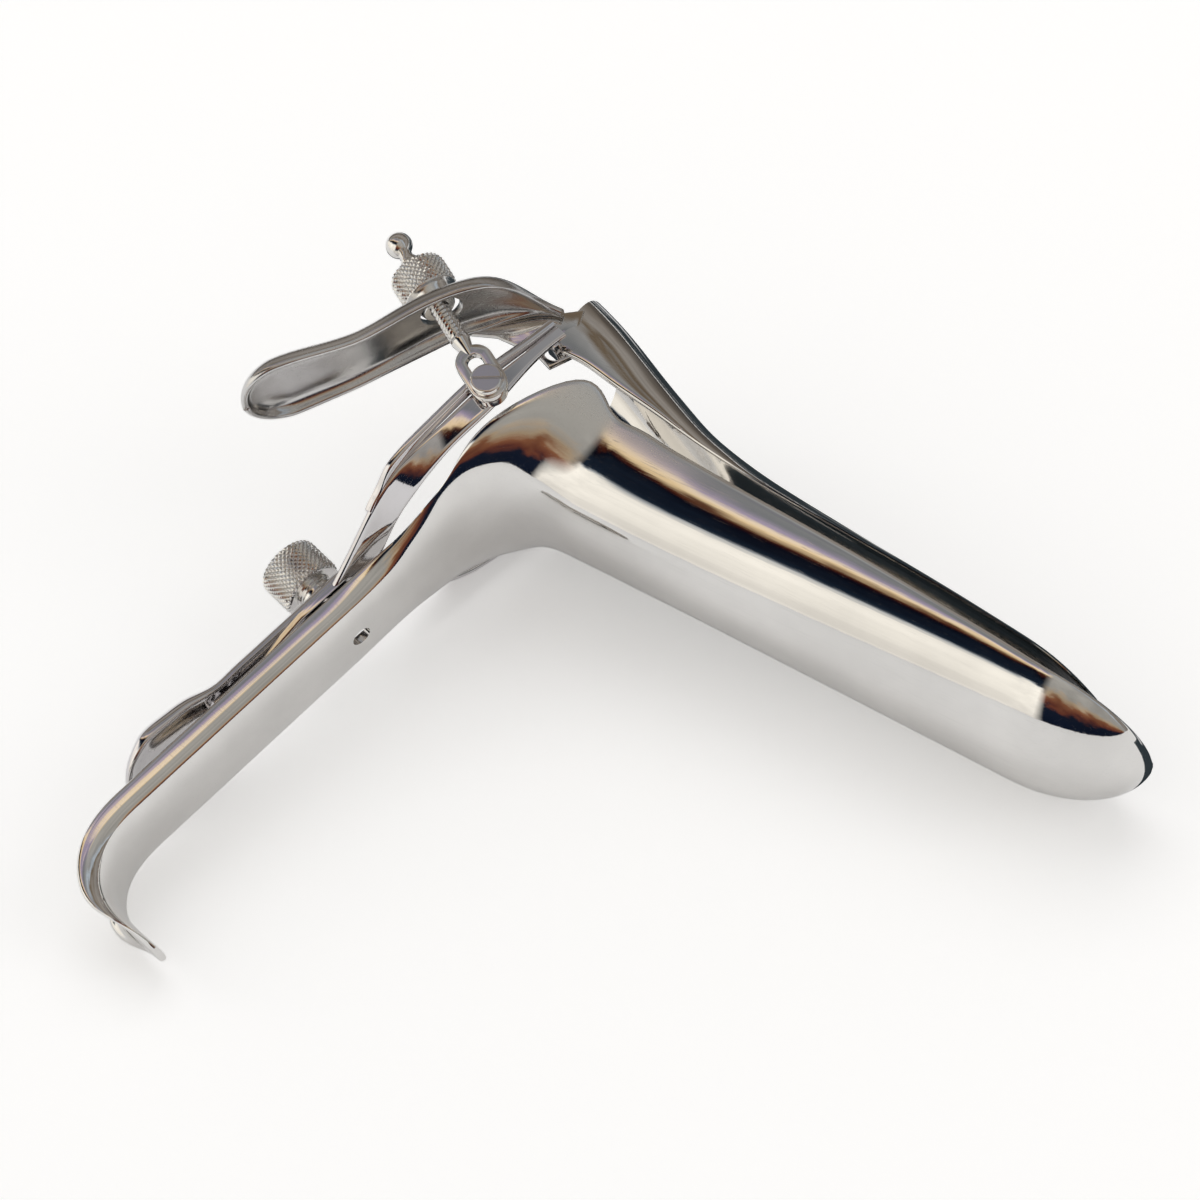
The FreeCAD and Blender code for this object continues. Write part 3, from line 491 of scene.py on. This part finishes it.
def upper_grid(inset, rows=16, columns=15):
    """Surface of the upper blade, drawn in upright sections from mouth to tip."""
    body, rounding = UPPER_REACH - UPPER_TIP_ROUND, UPPER_TIP_ROUND - inset
    grid = []
    for x in round_ended(0.0, body, rows, rounding, 7):
        crown, edge, half_width, fullness, sweep = smooth_row(upper_stations(), x)
        close = closing(x, body, rounding)[1]
        height = (crown - inset - edge) * close
        across, rise = trough((half_width - inset) * close, height, fullness, sweep, columns)
        grid.append(np.stack([np.full(columns, x), across, edge + height - rise], axis=1))
    return grid


def lever_grid(inset, rows=14, columns=15):
    """Surface of the lever, from its welded root to the spoon's end."""
    start, heading = (-1.2, 27.0), 191.6
    pieces = [(14.0, 32.8), (12.0, 21.2), (12.0, -15.5), (13.6, 5.9)]
    centre, inner_edge = -ROD_Y, 17.25
    stations = [
        (0.0, inner_edge, inner_edge + 1.8, 0.9), (4.0, inner_edge + 0.15, inner_edge + 5.5, 1.5),
        (8.0, inner_edge + 0.3, centre + 5.0, 2.5), (12.5, centre - 6.4, centre + 6.6, 3.2),
        (22.0, centre - 6.6, centre + 6.6, 3.2), (31.0, centre - 5.6, centre + 6.9, 2.9),
        (37.0, centre - 5.5, centre + 8.3, 3.0), (43.0, centre - 5.5, centre + 9.5, 3.2),
        (LEVER_LENGTH, centre - 5.1, centre + 9.9, 3.2),
    ]
    body, rounding = LEVER_LENGTH - LEVER_TIP_ROUND, LEVER_TIP_ROUND - inset
    grid = []
    for place in round_ended(0.0, body, rows, rounding, 7):
        inner, outer, rim = smooth_row(stations, place)
        over, close = closing(place, body, rounding)
        x, z, angle = trace(start, heading, pieces, place)
        half = max((outer - inner) / 2 - inset, 0.3) * close
        hollow = max(rim - inset, LEAST_HOLLOW)
        lift = inset + hollow * (1 - close)
        across, rise = trough(half, hollow * close, 4.0 - 1.0 * over, 88, columns)
        line = np.array([x, -(inner + outer) / 2, z])
        line = line + np.outer(rise + lift, [-math.sin(angle), 0, math.cos(angle)])
        line[:, 1] += across
        grid.append(line)
    return grid


# Finishes

def tone(red, green, blue):
    """A colour as it looks on a screen, in the values that a shader takes."""
    return tuple(value**2.2 for value in (red, green, blue))


def noise_node(nodes, links, vector, scale, detail=2.0):
    """A noise texture on a vector."""
    noise = nodes.new("ShaderNodeTexNoise")
    noise.inputs["Scale"].default_value = scale
    noise.inputs["Detail"].default_value = detail
    links.new(vector, noise.inputs["Vector"])
    return noise.outputs["Fac"]


def range_node(nodes, links, value, low, high, to_low, to_high):
    """A value moved from one range to another, held at its ends."""
    level = nodes.new("ShaderNodeMapRange")
    level.inputs["From Min"].default_value = low
    level.inputs["From Max"].default_value = high
    level.inputs["To Min"].default_value = to_low
    level.inputs["To Max"].default_value = to_high
    links.new(value, level.inputs["Value"])
    return level.outputs["Result"]


def math_node(nodes, links, operation, a, b):
    """Two values or sockets joined by an operation."""
    node = nodes.new("ShaderNodeMath")
    node.operation = operation
    for socket, value in zip(node.inputs, (a, b)):
        if isinstance(value, (int, float)):
            socket.default_value = value
        else:
            links.new(value, socket)
    return node.outputs[0]


def dot_node(nodes, links, vector, axis):
    """The length of a vector along an axis."""
    dot = nodes.new("ShaderNodeVectorMath")
    dot.operation = "DOT_PRODUCT"
    dot.inputs[1].default_value = axis
    links.new(vector, dot.inputs[0])
    return dot.outputs["Value"]


def fade_node(nodes, links, place, axis, span, level):
    """A value that grows from 0 to a level between two places, in millimetres along an axis."""
    start, end = (ORIGIN.dot(axis) + distance * MM for distance in span)
    return range_node(nodes, links, dot_node(nodes, links, place, axis), start, end, 0.0, level)


def ramp_node(nodes, links, value, stops):
    """The colour that a value from 0 to 1 picks from stops of (position, colour)."""
    ramp = nodes.new("ShaderNodeValToRGB")
    elements = ramp.color_ramp.elements
    while len(elements) < len(stops):
        elements.new(0.5)
    for element, (position, colour) in zip(elements, stops):
        element.position = position
        element.color = (*colour, 1)
    links.new(value, ramp.inputs["Fac"])
    return ramp.outputs["Color"]


# Marks on the steel: scales of their noise per metre, the depth of a hairline in metres, and how
# much a hairline darkens and roughens
SMEAR_SCALE = 70.0
RIPPLE_SCALE = 85.0
HAIR_SCALE = 5200.0
HAIR_STRETCH = 45.0
HAIR_DEPTH = 0.00001
HAIR_DARKENING = 0.12
HAIR_ROUGHENING = 0.1


def steel(name, tint, roughness, along, wave, brush, patch=None, shade=0.9):
    """Polished steel: waviness in metres, hairlines along one way, and a brushed patch."""
    material = bpy.data.materials.new(name)
    material.use_nodes = True
    nodes, links = material.node_tree.nodes, material.node_tree.links
    shader = nodes["Principled BSDF"]
    shader.inputs["Metallic"].default_value = 1.0
    place = nodes.new("ShaderNodeTexCoord").outputs["Object"]
    smear = noise_node(nodes, links, place, SMEAR_SCALE, 6.0)
    stretch = nodes.new("ShaderNodeMapping")
    stretch.vector_type = "TEXTURE"
    stretch.inputs["Rotation"].default_value = along.to_track_quat("X", "Z").to_euler()
    stretch.inputs["Scale"].default_value = (HAIR_STRETCH, 1.0, 1.0)
    links.new(place, stretch.inputs["Vector"])
    hair = noise_node(nodes, links, stretch.outputs["Vector"], HAIR_SCALE)
    worn = range_node(nodes, links, hair, 0.58, 0.72, 0.0, 1.0)
    darkening = math_node(nodes, links, "MULTIPLY", worn, HAIR_DARKENING)
    mixed = math_node(nodes, links, "SUBTRACT", smear, darkening)
    stops = [(0.32, [value * shade for value in tint]), (0.62, tint)]
    links.new(ramp_node(nodes, links, mixed, stops), shader.inputs["Base Color"])
    rough = range_node(nodes, links, smear, 0.3, 0.7, roughness * 0.75, roughness * 1.35)
    roughening = math_node(nodes, links, "MULTIPLY", worn, HAIR_ROUGHENING)
    rough = math_node(nodes, links, "ADD", rough, roughening)
    if patch:
        ends, heights, extra = patch
        along_blade = fade_node(nodes, links, place, ALONG, ends, extra)
        up_blade = fade_node(nodes, links, place, OVER, heights, 1.0)
        brushed = math_node(nodes, links, "MULTIPLY", along_blade, up_blade)
        rough = math_node(nodes, links, "ADD", rough, brushed)
    links.new(rough, shader.inputs["Roughness"])
    ripple = nodes.new("ShaderNodeBump")
    ripple.inputs["Strength"].default_value = 1.0
    ripple.inputs["Distance"].default_value = wave
    links.new(noise_node(nodes, links, place, RIPPLE_SCALE, 1.5), ripple.inputs["Height"])
    lines = nodes.new("ShaderNodeBump")
    lines.inputs["Strength"].default_value = brush
    lines.inputs["Distance"].default_value = HAIR_DEPTH
    links.new(hair, lines.inputs["Height"])
    links.new(ripple.outputs["Normal"], lines.inputs["Normal"])
    links.new(lines.outputs["Normal"], shader.inputs["Normal"])
    return material


# The brushed patch in the lower blade: where it fades in along the blade and over its height, in
# millimetres, and the roughness that it adds
BRUSHED_PATCH = ((46.0, 24.0), (11.0, 14.0), 0.2)
SHEET_WAVE = 0.00005
LEVER_WAVE = 0.0001
TURNED_WAVE = 0.000006

POLISHED = steel("polished", (0.93, 0.915, 0.89), 0.045, ALONG, SHEET_WAVE, 0.15, BRUSHED_PATCH)
# The upper blade's steel is the polished steel made darker: painted shade standing in for the darker
# reflections of its flank.
SHADED_UPPER_STEEL = steel("upper_steel_painted_shade", (0.84, 0.82, 0.79), 0.06, ALONG, SHEET_WAVE, 0.15)
FRAME_STEEL = steel("frame", (0.86, 0.84, 0.85), 0.06, UP_HANDLE, SHEET_WAVE, 0.15)
SATIN = steel("satin", (0.84, 0.83, 0.82), 0.19, ALONG, LEVER_WAVE, 0.3, shade=0.72)
TURNED = steel("turned", (0.93, 0.91, 0.88), 0.1, NEAR, TURNED_WAVE, 0.1)
KNURLED = steel("knurled", (0.96, 0.95, 0.93), 0.14, BACK, TURNED_WAVE, 0.1)


def wear(obj, material, body, node):
    """Give a piece its finish and its body, in place of a node."""
    obj.data.materials.clear()
    obj.data.materials.append(material)
    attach(obj, body)
    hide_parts(node)


NEARWARD = np.array([0.0, -1.0, 0.0])
FARWARD = -NEARWARD
HINGE_AT = at(HINGE_DOWN, HINGE_BACK)
SCREW_DOWN = 28.7
SLIDE_TRAVEL = 16.0
STEM_FRONT = 4.85
STEM_REAR = STEM_FRONT + SHEET
SLOT_WIDTH = 3.8
PIVOT_AT = at(-8.3, 4.8)
ROD_ANGLE = math.radians(151.0)
ROD_AXIS = np.array([math.cos(ROD_ANGLE), 0, math.sin(ROD_ANGLE)])
ROD_BASE = np.array([PIVOT_AT[0], ROD_Y, PIVOT_AT[2]])
ARM_HALF_WIDTH = 20.9
CHANNEL_RIM = STEM_REAR + 0.02
CHANNEL_DEPTH = 2.0
SCREW_HOLE = 3.3
HINGE_HOLE = 3.34
LEVER_HOLE = 6.6
EYE_HOLE = 2.3
EYE_SLOT = 4.2

# The ears' lower outlines, from the blade's crown round to the hinge lobe, as (x, z)
NEAR_TAIL = [(-3.6, 25.6), (-7.6, 23.2), (-10.6, 20.6), (-13.5, 17.4), (-12.8, 17.1), (-8.5, 18.9)]
FAR_TAIL = [(-0.8, 27.0), (-3.6, 23.0), (-3.6, 20.4)]
EAR_SPLAY = math.radians(-4.0)
EAR_EDGE = 16.9


def drill(start, axis, width, depth):
    """Round cutter."""
    return prism("drill", long_loop(start, start, width, axis), np.asarray(axis) * depth)


def slot_cutter(back, depth):
    """Cutter for the long slot that the clamping screw runs in."""
    loop = long_loop(at(SCREW_DOWN, back), at(SCREW_DOWN + SLIDE_TRAVEL, back), SLOT_WIDTH, LEAN_BACK)
    return prism("slot", loop, LEAN_BACK * depth)


def lower_pieces():
    """The lower blade, mouth wings, handle and hook in one sheet, drilled for the screw."""
    blade = sheet_object("lower_stamping", lower_grid(0), lower_grid(SHEET), 320, 72)
    finished(blade, [drill(at(SCREW_DOWN, -2), LEAN_BACK, SCREW_HOLE, 5.5)])
    wear(blade, POLISHED, "lower", "lower_blade")


def ear(name, side, tail):
    """Ear plate with its hinge hole, splayed a little outwards."""
    lobe = [(HINGE_AT[0] - 2.4, HINGE_AT[2] - 1.8), (HINGE_AT[0] + 0.75, HINGE_AT[2] - 2.91)]
    outline = [(1.0, 29.0)] + tail + lobe + [(3.4, 21.4)]
    along, out = math.cos(EAR_SPLAY), math.sin(EAR_SPLAY)
    points = [[x * along + UPPER_SHEET * out, side * (EAR_EDGE + x * out - UPPER_SHEET * along), z]
              for x, z in outline]
    plate = prism(name, points, np.array([-out, side * along, 0]) * UPPER_SHEET)
    hole = drill(HINGE_AT + NEARWARD * 30, FARWARD, HINGE_HOLE, 60)
    return finished(plate, [hole], 0.18)


def upper_pieces():
    """The moving blade and its two ears."""
    blade = sheet_object("upper_stamping", upper_grid(0), upper_grid(UPPER_SHEET), 220, 72)
    for piece in (blade, ear("ear_near", -1, NEAR_TAIL), ear("ear_far", 1, FAR_TAIL)):
        wear(piece, SHADED_UPPER_STEEL, "upper", "upper_blade")


def lever_piece():
    """The thumb lever with its hole for the rod."""
    lever = sheet_object("lever_stamping", lever_grid(0), lever_grid(LEVER_SHEET), 200, 64)
    finished(lever, [drill(ROD_BASE + ROD_AXIS * 11, ROD_AXIS, LEVER_HOLE, 10)])
    wear(lever, SATIN, "upper", "thumb_lever")


def arm_edges():
    """Front and rear edges of one arm, from the stem to the top."""
    wide, rear = ARM_HALF_WIDTH, STEM_FRONT
    front = [(1.0, 25.0, rear), (5.0, 19.2, rear), (11.0, 14.2, 4.4), (16.4, 8.6, 3.5),
             (19.7, 1.0, 3.3), (wide, -8.3, 3.1), (wide - 0.2, -16.0, 4.0), (wide - 0.6, -22.6, 3.9)]
    back = [(8.1, 27.2, rear), (11.6, 22.4, rear + 0.5), (16.4, 16.6, 5.8), (19.5, 10.0, 6.7),
            (20.5, 1.5, 6.9), (wide, -8.3, 6.9), (wide - 0.2, -16.0, 6.3), (wide - 0.6, -22.6, 6.1)]
    return [[at(down, behind, y) for y, down, behind in rows] for rows in (front, back)]


def flange_grid(rear):
    """Outward flange along the arm's rear edge."""
    grid = []
    for point in even_line(rear[2:], 24):
        down = point.dot(LEAN_DOWN)
        grow = math.sqrt(1 - (1 - min(1.0, max(0.0, 12.5 - down) / 3.0)) ** 2)
        slim = min(1.0, max(0.0, (down + 22.6) / 14.3))
        reach = 0.15 + 1.55 * grow * (0.3 + 0.7 * slim)
        root = point + FARWARD * (-SHEET * 0.6) + LEAN_BACK * 0.08
        tip = point + FARWARD * reach + LEAN_BACK * 0.08
        grid.append([root + (tip - root) * (j / 3) for j in range(4)])
    return grid


def yoke_pieces():
    """The hoop's two arms with their flanges and hinge tongues, and the slotted stem."""
    front, rear = arm_edges()
    strip = [[a + (b - a) * (j / 4) for j in range(5)]
             for a, b in zip(even_line(front, 26), even_line(rear, 26))]
    lip = flange_grid(rear)
    tongue = [HINGE_AT + LEAN_DOWN * u + LEAN_BACK * v + FARWARD * 14.9
              for u, v in ((-0.6, -1.2), (0.6, -1.2), (0.6, 1.2), (-0.6, 1.2))]
    flip = np.array([1.0, -1.0, 1.0])
    pieces = []
    for side, mirror in (("far", np.ones(3)), ("near", flip)):
        for label, grid, rows in (("arm", strip, 120), ("flange", lip, 100)):
            outer = np.array(grid) * mirror
            inner = offset_grid(grid, SHEET) * mirror
            pieces.append(sheet_object(f"{label}_{side}", outer, inner, rows, 12))
        stub = prism(f"tongue_{side}", np.array(tongue) * mirror, FARWARD * mirror * 4.8)
        pieces.append(finished(stub, [], 0.15))
    half = [(0, 23.2), (4.2, 21.4), (8.1, 25.4), (8.1, 34.0), (6.0, 42.0), (6.0, 52.0), (4.0, 54.0)]
    outline = half + [(-y, down) for y, down in reversed(half[1:])]
    stem = prism("stem", [at(down, STEM_FRONT, y) for y, down in outline], LEAN_BACK * SHEET)
    pieces.append(finished(stem, [slot_cutter(STEM_FRONT - 1, SHEET + 2)], 0.15))
    for piece in pieces:
        wear(piece, FRAME_STEEL, "frame", "yoke")


def channel_grid(inset):
    """Surface of the slide channel, from its square top to the spoon's round end."""
    edge = CHANNEL_RIM
    stations = [(24.0, 7.5, CHANNEL_DEPTH, edge), (50.0, 7.5, CHANNEL_DEPTH, edge),
                (54.0, 8.1, 2.6, edge + 0.6), (62.0, 9.0, 3.0, edge + 0.9),
                (68.0, 9.0, 2.6, edge + 0.2), (71.0, 9.0, 2.4, edge - 0.7)]
    body, rounding = 62.0, 9.0 - inset
    grid = []
    for down in round_ended(24.0, body, 10, rounding, 7):
        half_width, depth, rim = smooth_row(stations, down)
        over, close = closing(down, body, rounding)
        height = (depth - inset) * close
        across, rise = trough((half_width - inset) * close, height, 4.0 - 1.4 * over, 88, 15)
        grid.append([at(down, rim + height - up, y) for y, up in zip(across, rise)])
    return grid


def channel_piece():
    """The slide channel with its slot."""
    channel = sheet_object("channel_pressing", channel_grid(0), channel_grid(SLIDE_SHEET), 160, 64)
    finished(channel, [slot_cutter(STEM_REAR, 5)])
    wear(channel, FRAME_STEEL, "frame", "slide_channel")


def thumb_screw_piece():
    """The clamping screw: knurled head, grooved neck, and a shank through both slots."""
    shank, neck, head, top = 1.6, 3.2, 5.1, 9.8
    root = neck - 0.45
    profile = [(0, -0.3), (shank - 0.3, -0.3), (shank, 0), (neck - 0.1, 0), (neck, 0.1), (neck, 0.6),
               (neck - 0.12, 0.75), (root, 0.95), (root, 1.15), (neck - 0.12, 1.35), (neck, 1.5),
               (neck, 1.9), (neck - 0.12, 2.05), (root, 2.25), (root, 2.45), (neck - 0.12, 2.65),
               (neck, 2.8), (neck, 3.0), (head - 0.7, 3.0), (head - 0.2, 3.2), (head, 3.6),
               (head, top - 0.8), (head - 0.2, top - 0.3), (head - 0.8, top), (head - 1.8, top + 0.1),
               (head - 2.4, top - 0.1), (0, top - 0.2)]
    base = at(SCREW_DOWN, CHANNEL_RIM + CHANNEL_DEPTH + 0.1)
    cut = knurl(head, 3.0, top + 0.2, 0.34, 34)
    screw = turned("clamping_screw", dense(profile, 0.12), base, LEAN_BACK, 408, cut)
    wear(screw, KNURLED, "clamp", "thumb_screw")


def eye_prism(name, width, depth):
    """A long shape round the rod's pivot, centred on the eye's plate."""
    start = ROD_BASE + FARWARD * (depth / 2)
    return prism(name, long_loop(start, start + ROD_AXIS * EYE_SLOT, width, NEARWARD), NEARWARD * depth)


def rod_pieces():
    """The rod with its eye, long hole and thread, and the ball pressed on its end."""
    eye = finished(eye_prism("rod_eye", 5.8, 1.4), [eye_prism("hole", EYE_HOLE, 4.0)], 0.2)
    bar = [(0, 5.5), (0.7, 5.5), (0.95, 6.5), (1.3, 7.8), (1.5, 8.6), (1.5, 24.7), (1.3, 25.0),
           (0.9, 25.0), (0.9, 26.6), (0, 26.6)]
    cut = thread(1.5, 8.9, 24.8, 0.26, 0.75)
    rod = turned("rod", dense(bar, 0.075), ROD_BASE, ROD_AXIS, 72, cut)
    neck, radius, foot, centre = 1.05, 2.05, 25.02, 25.02 + 3.55
    ball = [(0, foot), (neck + 0.35, foot), (neck + 0.3, foot + 0.35), (neck, foot + 0.9),
            (neck, foot + 1.75)]
    start = math.asin(neck / radius)
    for i in range(1, 25):
        angle = start + (math.pi - start) * i / 24
        ball.append((radius * math.sin(angle), centre - radius * math.cos(angle)))
    stop = turned("rod_ball", ball, ROD_BASE, ROD_AXIS, 64)
    for piece, node in ((eye, "threaded_rod"), (rod, "threaded_rod"), (stop, "rod_stop")):
        wear(piece, TURNED, "rod", node)


def nut_piece():
    """The lever's nut: knurled ring with a smooth tapered shoulder."""
    bore, seat, outer, base, top = 1.55, 2.6, 4.5, 15.9, 7.4
    profile = [(bore, -0.6), (seat - 0.1, -0.6), (seat, -0.5), (seat + 0.4, 0.6),
               (outer - 1.0, 1.7), (outer - 0.8, 1.95), (outer, 2.7), (outer, top - 0.9),
               (outer - 0.25, top - 0.3), (outer - 0.9, top), (outer - 2.0, top + 0.2),
               (bore + 0.2, top + 0.2), (bore, top)]
    cut = knurl(outer, 2.3, top + 0.1, 0.32, 32)
    nut = turned("knurled_nut", dense(profile, 0.12), ROD_BASE + ROD_AXIS * base, ROD_AXIS, 384, cut)
    wear(nut, KNURLED, "nut", "lever_nut")


lower_pieces()
upper_pieces()
lever_piece()
yoke_pieces()
channel_piece()
thumb_screw_piece()
rod_pieces()
nut_piece()
for node in ("pivot_boss", "pivot_screw"):
    piece = frame["nodes"][node]
    piece.data.materials.clear()
    piece.data.materials.append(TURNED)

# Camera at the photograph's place, fitted in the upright frame
CAMERA_PLACE = (188.2, -445.0, -142.5)
CAMERA_RIGHT = (0.8439, 0.1546, 0.5137)
CAMERA_DOWN = (0.4160, 0.4162, -0.8086)
FOCAL_PIXELS = 3289.95
PHOTO_WIDTH = 1200.0
OPTICAL_CENTRE = (608.80, 564.10)
SENSOR = 36.0


def direction(v):
    """A direction of the upright frame in the row frame."""
    return ALONG * v[0] + FAR * v[1] + OVER * v[2]


camera = linked("camera", bpy.data.cameras.new("camera"))
right = direction(CAMERA_RIGHT).normalized()
up = -direction(CAMERA_DOWN)
up = (up - right * up.dot(right)).normalized()
out = right.cross(up)
turn = Matrix((right, up, out)).transposed().to_4x4()
camera.matrix_world = Matrix.Translation(Vector(to_row([CAMERA_PLACE])[0])) @ turn
camera.data.sensor_width = SENSOR
camera.data.lens = FOCAL_PIXELS / PHOTO_WIDTH * SENSOR
camera.data.shift_x = (PHOTO_WIDTH / 2 - OPTICAL_CENTRE[0]) / PHOTO_WIDTH
camera.data.shift_y = (OPTICAL_CENTRE[1] - PHOTO_WIDTH / 2) / PHOTO_WIDTH
camera.data.clip_start = 0.01
camera.data.clip_end = 20.0
bpy.context.scene.camera = camera

# Stage
bpy.context.scene.view_settings.view_transform = "Standard"
FLOOR_RADIUS = 0.75


def plain(name, colour, camera_glow=0.0, steel_glow=0.0):
    """Matt stage material that may look lighter to the camera and to the steel than it lights."""
    material = bpy.data.materials.new(name)
    material.use_nodes = True
    nodes, links = material.node_tree.nodes, material.node_tree.links
    shader = nodes["Principled BSDF"]
    shader.inputs["Base Color"].default_value = (*colour, 1)
    shader.inputs["Roughness"].default_value = 1.0
    shader.inputs["Specular IOR Level"].default_value = 0.0
    shader.inputs["Emission Color"].default_value = (1.0, 0.985, 0.96, 1)
    path = nodes.new("ShaderNodeLightPath")
    seen = math_node(nodes, links, "MULTIPLY", path.outputs["Is Camera Ray"], camera_glow)
    mirrored = math_node(nodes, links, "MULTIPLY", path.outputs["Is Glossy Ray"], steel_glow)
    links.new(math_node(nodes, links, "ADD", seen, mirrored), shader.inputs["Emission Strength"])
    return material


def flat_piece(name, corners, height, material):
    """A flat stage piece through corners of (x, y) at one height."""
    mesh = bpy.data.meshes.new(name)
    mesh.from_pydata([(x, y, height) for x, y in corners], [], [list(range(len(corners)))])
    mesh.materials.append(material)
    return linked(name, mesh)


def floor(radius, height, segments=96):
    """The round pale floor, a little lighter to the camera than the light on it."""
    angles = [2 * math.pi * i / segments for i in range(segments)]
    ring = [(radius * math.cos(angle), radius * math.sin(angle)) for angle in angles]
    obj = flat_piece("floor", ring, height, plain("floor", (0.95, 0.95, 0.95), 0.3, 0.04))


def dark_card(corners, height, dark, light):
    """A dark card with light clouds, lying beyond the upper blade and seen only by the steel."""
    material = plain("dark_card", dark)
    nodes, links = material.node_tree.nodes, material.node_tree.links
    place = nodes.new("ShaderNodeTexCoord").outputs["Object"]
    clouds = noise_node(nodes, links, place, 22.0, 1.5)
    shade = ramp_node(nodes, links, clouds, [(0.56, dark), (0.64, light)])
    links.new(shade, nodes["Principled BSDF"].inputs["Base Color"])
    obj = flat_piece("dark_card", corners, height, material)
    obj.visible_camera = False
    obj.visible_diffuse = False
    obj.visible_shadow = False


floor(FLOOR_RADIUS, -0.0002)
dark_card([(-0.11, 0.036), (0.14, 0.036), (0.2, 0.4), (-0.2, 0.4)], 0.0001,
          tone(0.24, 0.27, 0.29), (0.75, 0.76, 0.78))

# The room as the steel sees it: colour bands round the blade's length, one set on the handle's
# side of the room and one on the tip's. In degrees 0 is about straight up, -90 the side that the
# lower blade's back faces, 90 the side beyond the upper blade and 180 straight down.
HANDLE_SIDE = [(-180, tone(0.92, 0.91, 0.88)), (-100, tone(0.94, 0.92, 0.89)), (-60, tone(1.0, 0.98, 0.94)),
         (-33, tone(1.0, 0.98, 0.94)), (-29, tone(0.62, 0.64, 0.66)), (-25, tone(0.12, 0.16, 0.21)),
         (-8, tone(0.06, 0.06, 0.10)), (-3, tone(0.30, 0.15, 0.10)), (1, tone(0.93, 0.82, 0.64)),
         (7, tone(0.95, 0.87, 0.76)), (10, tone(0.66, 0.61, 0.71)), (15, tone(0.48, 0.49, 0.50)),
         (30, tone(0.60, 0.60, 0.60)), (38, tone(0.42, 0.37, 0.31)), (55, tone(0.62, 0.60, 0.58)),
         (80, tone(0.45, 0.42, 0.39)), (112, tone(0.10, 0.10, 0.12)), (128, tone(0.12, 0.12, 0.15)),
         (142, tone(0.85, 0.87, 0.90)), (160, tone(0.32, 0.34, 0.36)), (180, tone(0.22, 0.24, 0.24))]
TIP_SIDE = [(-180, tone(0.92, 0.90, 0.87)), (-115, tone(0.90, 0.88, 0.85)), (-98, tone(0.75, 0.76, 0.76)),
          (-90, tone(0.08, 0.11, 0.17)), (-60, tone(0.10, 0.12, 0.17)), (-52, tone(0.38, 0.22, 0.18)),
          (-36, tone(0.50, 0.33, 0.24)), (-28, tone(0.66, 0.58, 0.48)), (-18, tone(0.61, 0.60, 0.58)),
          (10, tone(0.64, 0.63, 0.61)), (24, tone(0.60, 0.60, 0.60)), (32, tone(0.70, 0.74, 0.78)),
          (42, tone(0.45, 0.40, 0.34)), (62, tone(0.60, 0.58, 0.56)), (90, tone(0.46, 0.44, 0.42)),
          (112, tone(0.12, 0.12, 0.14)), (135, tone(0.10, 0.10, 0.12)), (150, tone(0.80, 0.82, 0.85)),
          (180, tone(0.40, 0.42, 0.42))]


def bands(nodes, links, stops, place):
    """Colour bands given in degrees, read at a place from 0 to 1 round the circle."""
    return ramp_node(nodes, links, place, [((degrees + 180) / 360, colour) for degrees, colour in stops])


def studio():
    """Plain room light, white behind the object, and the banded room in the steel."""
    world = bpy.data.worlds.new("world")
    bpy.context.scene.world = world
    world.use_nodes = True
    nodes, links = world.node_tree.nodes, world.node_tree.links
    view = nodes.new("ShaderNodeTexCoord").outputs["Generated"]
    near, over, along = (dot_node(nodes, links, view, axis) for axis in (NEAR, OVER, ALONG))
    angle = math_node(nodes, links, "ARCTAN2", over, near)
    place = range_node(nodes, links, angle, -math.pi, math.pi, 0.0, 1.0)
    wander = range_node(nodes, links, noise_node(nodes, links, view, 4.5, 3.0), 0.3, 0.7, -0.02, 0.02)
    place = math_node(nodes, links, "ADD", place, wander)
    mix = nodes.new("ShaderNodeMix")
    mix.data_type = "RGBA"
    links.new(range_node(nodes, links, along, -0.04, 0.1, 0.0, 1.0), mix.inputs[0])
    links.new(bands(nodes, links, HANDLE_SIDE, place), mix.inputs[6])
    links.new(bands(nodes, links, TIP_SIDE, place), mix.inputs[7])
    cloud = range_node(nodes, links, noise_node(nodes, links, view, 2.6, 3.0), 0.35, 0.65, 0.82, 1.08)
    shown = nodes.new("ShaderNodeBackground")
    links.new(mix.outputs[2], shown.inputs["Color"])
    links.new(cloud, shown.inputs["Strength"])
    room = nodes["Background"]
    room.inputs["Color"].default_value = (0.99, 0.98, 0.97, 1)
    room.inputs["Strength"].default_value = 0.5
    white = nodes.new("ShaderNodeBackground")
    white.inputs["Color"].default_value = (1, 1, 1, 1)
    path = nodes.new("ShaderNodeLightPath")
    steel_mix, camera_mix = nodes.new("ShaderNodeMixShader"), nodes.new("ShaderNodeMixShader")
    links.new(path.outputs["Is Glossy Ray"], steel_mix.inputs["Fac"])
    links.new(room.outputs["Background"], steel_mix.inputs[1])
    links.new(shown.outputs["Background"], steel_mix.inputs[2])
    links.new(path.outputs["Is Camera Ray"], camera_mix.inputs["Fac"])
    links.new(steel_mix.outputs["Shader"], camera_mix.inputs[1])
    links.new(white.outputs["Background"], camera_mix.inputs[2])
    links.new(camera_mix.outputs["Shader"], nodes["World Output"].inputs["Surface"])


studio()


def softbox(name, place, width, height, radiance):
    """A rectangular soft light aimed at the object, which the steel doesn't mirror."""
    lamp = bpy.data.lights.new(name, "AREA")
    lamp.shape = "RECTANGLE"
    lamp.size, lamp.size_y = width, height
    lamp.energy = radiance * math.pi * width * height
    obj = linked(name, lamp)
    obj.location = place
    obj.rotation_euler = (-Vector(place)).to_track_quat("-Z", "Y").to_euler()
    obj.visible_glossy = False


softbox("overhead", (-0.25, 0.35, 1.2), 1.1, 0.9, 1.0)
softbox("side", (0.9, 0.3, 0.7), 0.5, 0.8, 1.1)
softbox("left", (-1.0, -0.2, 0.75), 0.4, 0.8, 0.9)
